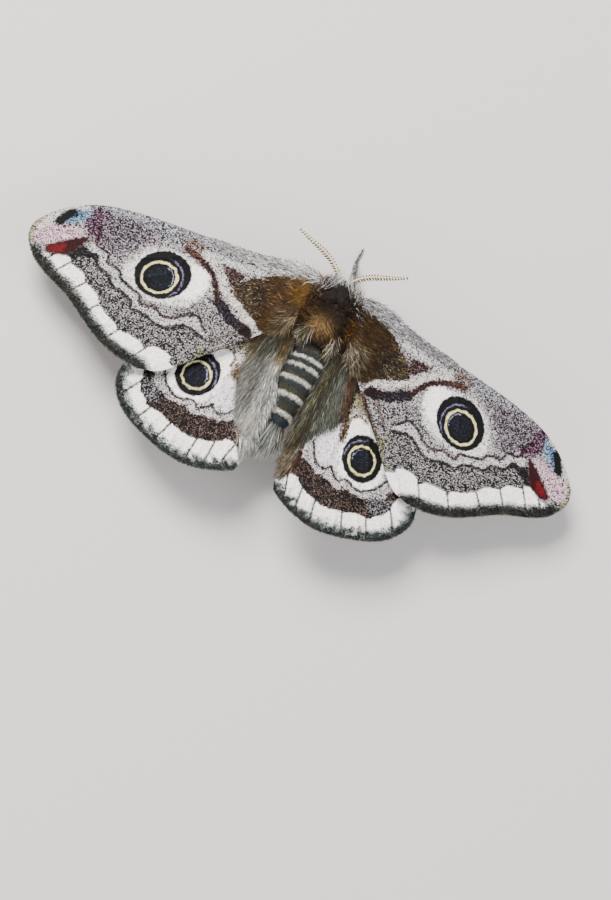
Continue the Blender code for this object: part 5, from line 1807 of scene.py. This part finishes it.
def wing_fringe(kind, side, edge, colours, weights, seed):
    course = even_curve(edge, CURVE_POINTS)
    grid = np.arange(len(course))
    run = np.linalg.norm(np.diff(course, axis=0), axis=1).sum()
    count = int(run * FRINGE_PER_MM)
    draw = np.random.default_rng(seed)
    at = draw.uniform(0, len(course) - 1, count)
    plan = read_curve(at, grid, course)
    way = read_curve(at, grid, unit(np.gradient(course, axis=0)))
    outward = np.stack([-way[:, 1], way[:, 0]], -1)
    middle = course.mean(0) * np.array([0.6, 0.8])
    outward *= np.sign(((plan - middle) * outward).sum(1))[:, None]
    plan = plan - outward * FRINGE_INSET_MM
    u, v = plan.T
    rows = shades_of(colours, weights, count, seed + 1)
    z = WING_HEIGHT[kind](u, v) + draw.uniform(-0.06, 0.06, count)
    lie = rows_of(outward[:, 0] * side, outward[:, 1], 0.0)
    lie += 0.12 * draw.normal(size=lie.shape)
    length = FRINGE_LONG_MM * draw.uniform(0.7, 1.15, count)
    coat(kind + "_fringe_" + letter_of(side), rows_of(u * side, v, z), wing_up(side, count),
         lie, length, 0.05, rows, wing_patch(kind, plan), lift=0.02, sink=0.0,
         seed=seed + 2, slot="wing_scales")


for side in (LEFT, RIGHT):
    wing_fringe("forewing", side, FORE_OUTER, ["#74756D", "#565852", "#96958A"], [3, 3, 1],
                601 + side)
    wing_fringe("hindwing", side, HIND_OUTER, ["#6A6E6A", "#4A4E4B", "#8C8E88"], [3, 3, 1],
                611 + side)

# %% [markdown]
# ## Feelers
#
# The female's feelers are thin cream shafts with two rows of short teeth, unlike the
# male's feathers. The shaft is a bent cylinder of smooth cuticle, so it has a soft
# gloss, and each tooth is one more of the slim spikes, with a dark tip.

# %% Feelers with two rows of teeth
FEELER_PATHS = {
    "L": [(0.8, 5.75, 5.75), (1.45, 6.55, 5.8), (2.3, 7.25, 5.75), (3.3, 7.8, 5.7),
          (4.6, 8.3, 5.6), (6.2, 8.75, 5.5), (7.7, 9.25, 5.4)],
    "R": [(-0.7, 5.7, 5.75), (-1.2, 6.4, 5.8), (-1.9, 7.1, 5.75), (-2.9, 7.8, 5.7),
          (-4.3, 8.5, 5.6), (-5.8, 9.2, 5.5), (-7.1, 9.95, 5.4)],
}
FEELER_ROOT_VZ = (4.6, 5.2)
FEELER_TEETH = 20
TEETH_FROM, TEETH_TO = 22, 118
cream, cream_tree, cream_shader = new_material("cream_feeler_cuticle")
cream_tree.links.new(read_attribute(cream_tree, "hair_colour", "Color"),
                     cream_shader.inputs["Base Color"])
cream_shader.inputs["Roughness"].default_value = 0.5


def make_feeler(letter, path):
    name = "feeler_shaft_" + letter
    path = [(path[0][0] * 0.6, *FEELER_ROOT_VZ)] + path
    shaft = ringed_cylinder(10, 90)
    bend_onto(shaft, path, [0.13, 0.13, 0.12, 0.11, 0.10, 0.08, 0.07, 0.04])
    mesh = join_shapes([shaft], name)
    mesh.shade_smooth()
    store_colour(mesh, np.tile(linear("#D8BE86"), (len(mesh.vertices), 1)))
    add_piece(name, mesh, cream, "antenna", "antenna_" + letter)
    course = even_curve(path, 120)
    step = unit(np.gradient(course, axis=0))
    at = np.linspace(TEETH_FROM, TEETH_TO, FEELER_TEETH).astype(int)
    roots = np.repeat(course[at], 2, 0)
    along = np.repeat(step[at], 2, 0)
    upright = rows_of(0.0, 0.0, np.ones(len(roots)))
    flat = unit(np.cross(along, upright))
    flat *= np.tile([1, -1], len(at))[:, None]
    lie = flat * 1.0 + along * 0.55
    lie[:, 2] -= 0.1
    size = np.repeat(np.interp(at, [TEETH_FROM, 60, TEETH_TO], [0.6, 0.72, 0.3]), 2)
    size *= np.where(flat[:, 1] < 0, 1.0, 0.6)
    base = np.tile(linear("#8E6E3C"), (len(roots), 1))
    tips = np.tile(linear("#3A2814"), (len(roots), 1))
    coat("feeler_teeth_" + letter, roots, upright, lie, size, 0.13, base,
         np.tile([0.5, 0.5], (len(roots), 1)), lift=0.05, sink=0.0, tip_colour=tips,
         slot="antenna", seed=701)


for letter, path in FEELER_PATHS.items():
    make_feeler(letter, path)

# %% [markdown]
# ## Eyes
#
# A moth's eye is a ball of tiny lenses, near black and glossy. They are drawn 0.045 mm
# apart, coarser than real ones, as a faint bump that breaks up the highlight.

# %% Compound eyes
LENS_MM = 0.045
lens_finish, lens_tree, lens_shader = new_material("compound_eye_cornea")
lens_shader.inputs["Base Color"].default_value = (*linear("#0E0A09"), 1)
lens_shader.inputs["Roughness"].default_value = 0.12
lens_shader.inputs["IOR"].default_value = 1.5
lens_spot = add(lens_tree, "ShaderNodeTexCoord").outputs["Object"]
lenses = add(lens_tree, "ShaderNodeTexVoronoi", Vector=lens_spot, Scale=1 / (LENS_MM * MM))
lens_bump = add(lens_tree, "ShaderNodeBump", {"invert": True}, Distance=0.004 * MM,
                Strength=0.35, Height=lenses.outputs["Distance"])
lens_tree.links.new(lens_bump.outputs[0], lens_shader.inputs["Normal"])


for side in (LEFT, RIGHT):
    name = "eye_ball_" + letter_of(side)
    centre = (EYE_CENTRE[0] * side, EYE_CENTRE[1], EYE_CENTRE[2])
    mesh = join_shapes([ball(centre, (EYE_RADIUS - 0.03,) * 3)], name)
    mesh.shade_smooth()
    add_piece(name, mesh, lens_finish, "eye", "eye_" + letter_of(side))
print("lenses", LENS_MM, "mm apart")
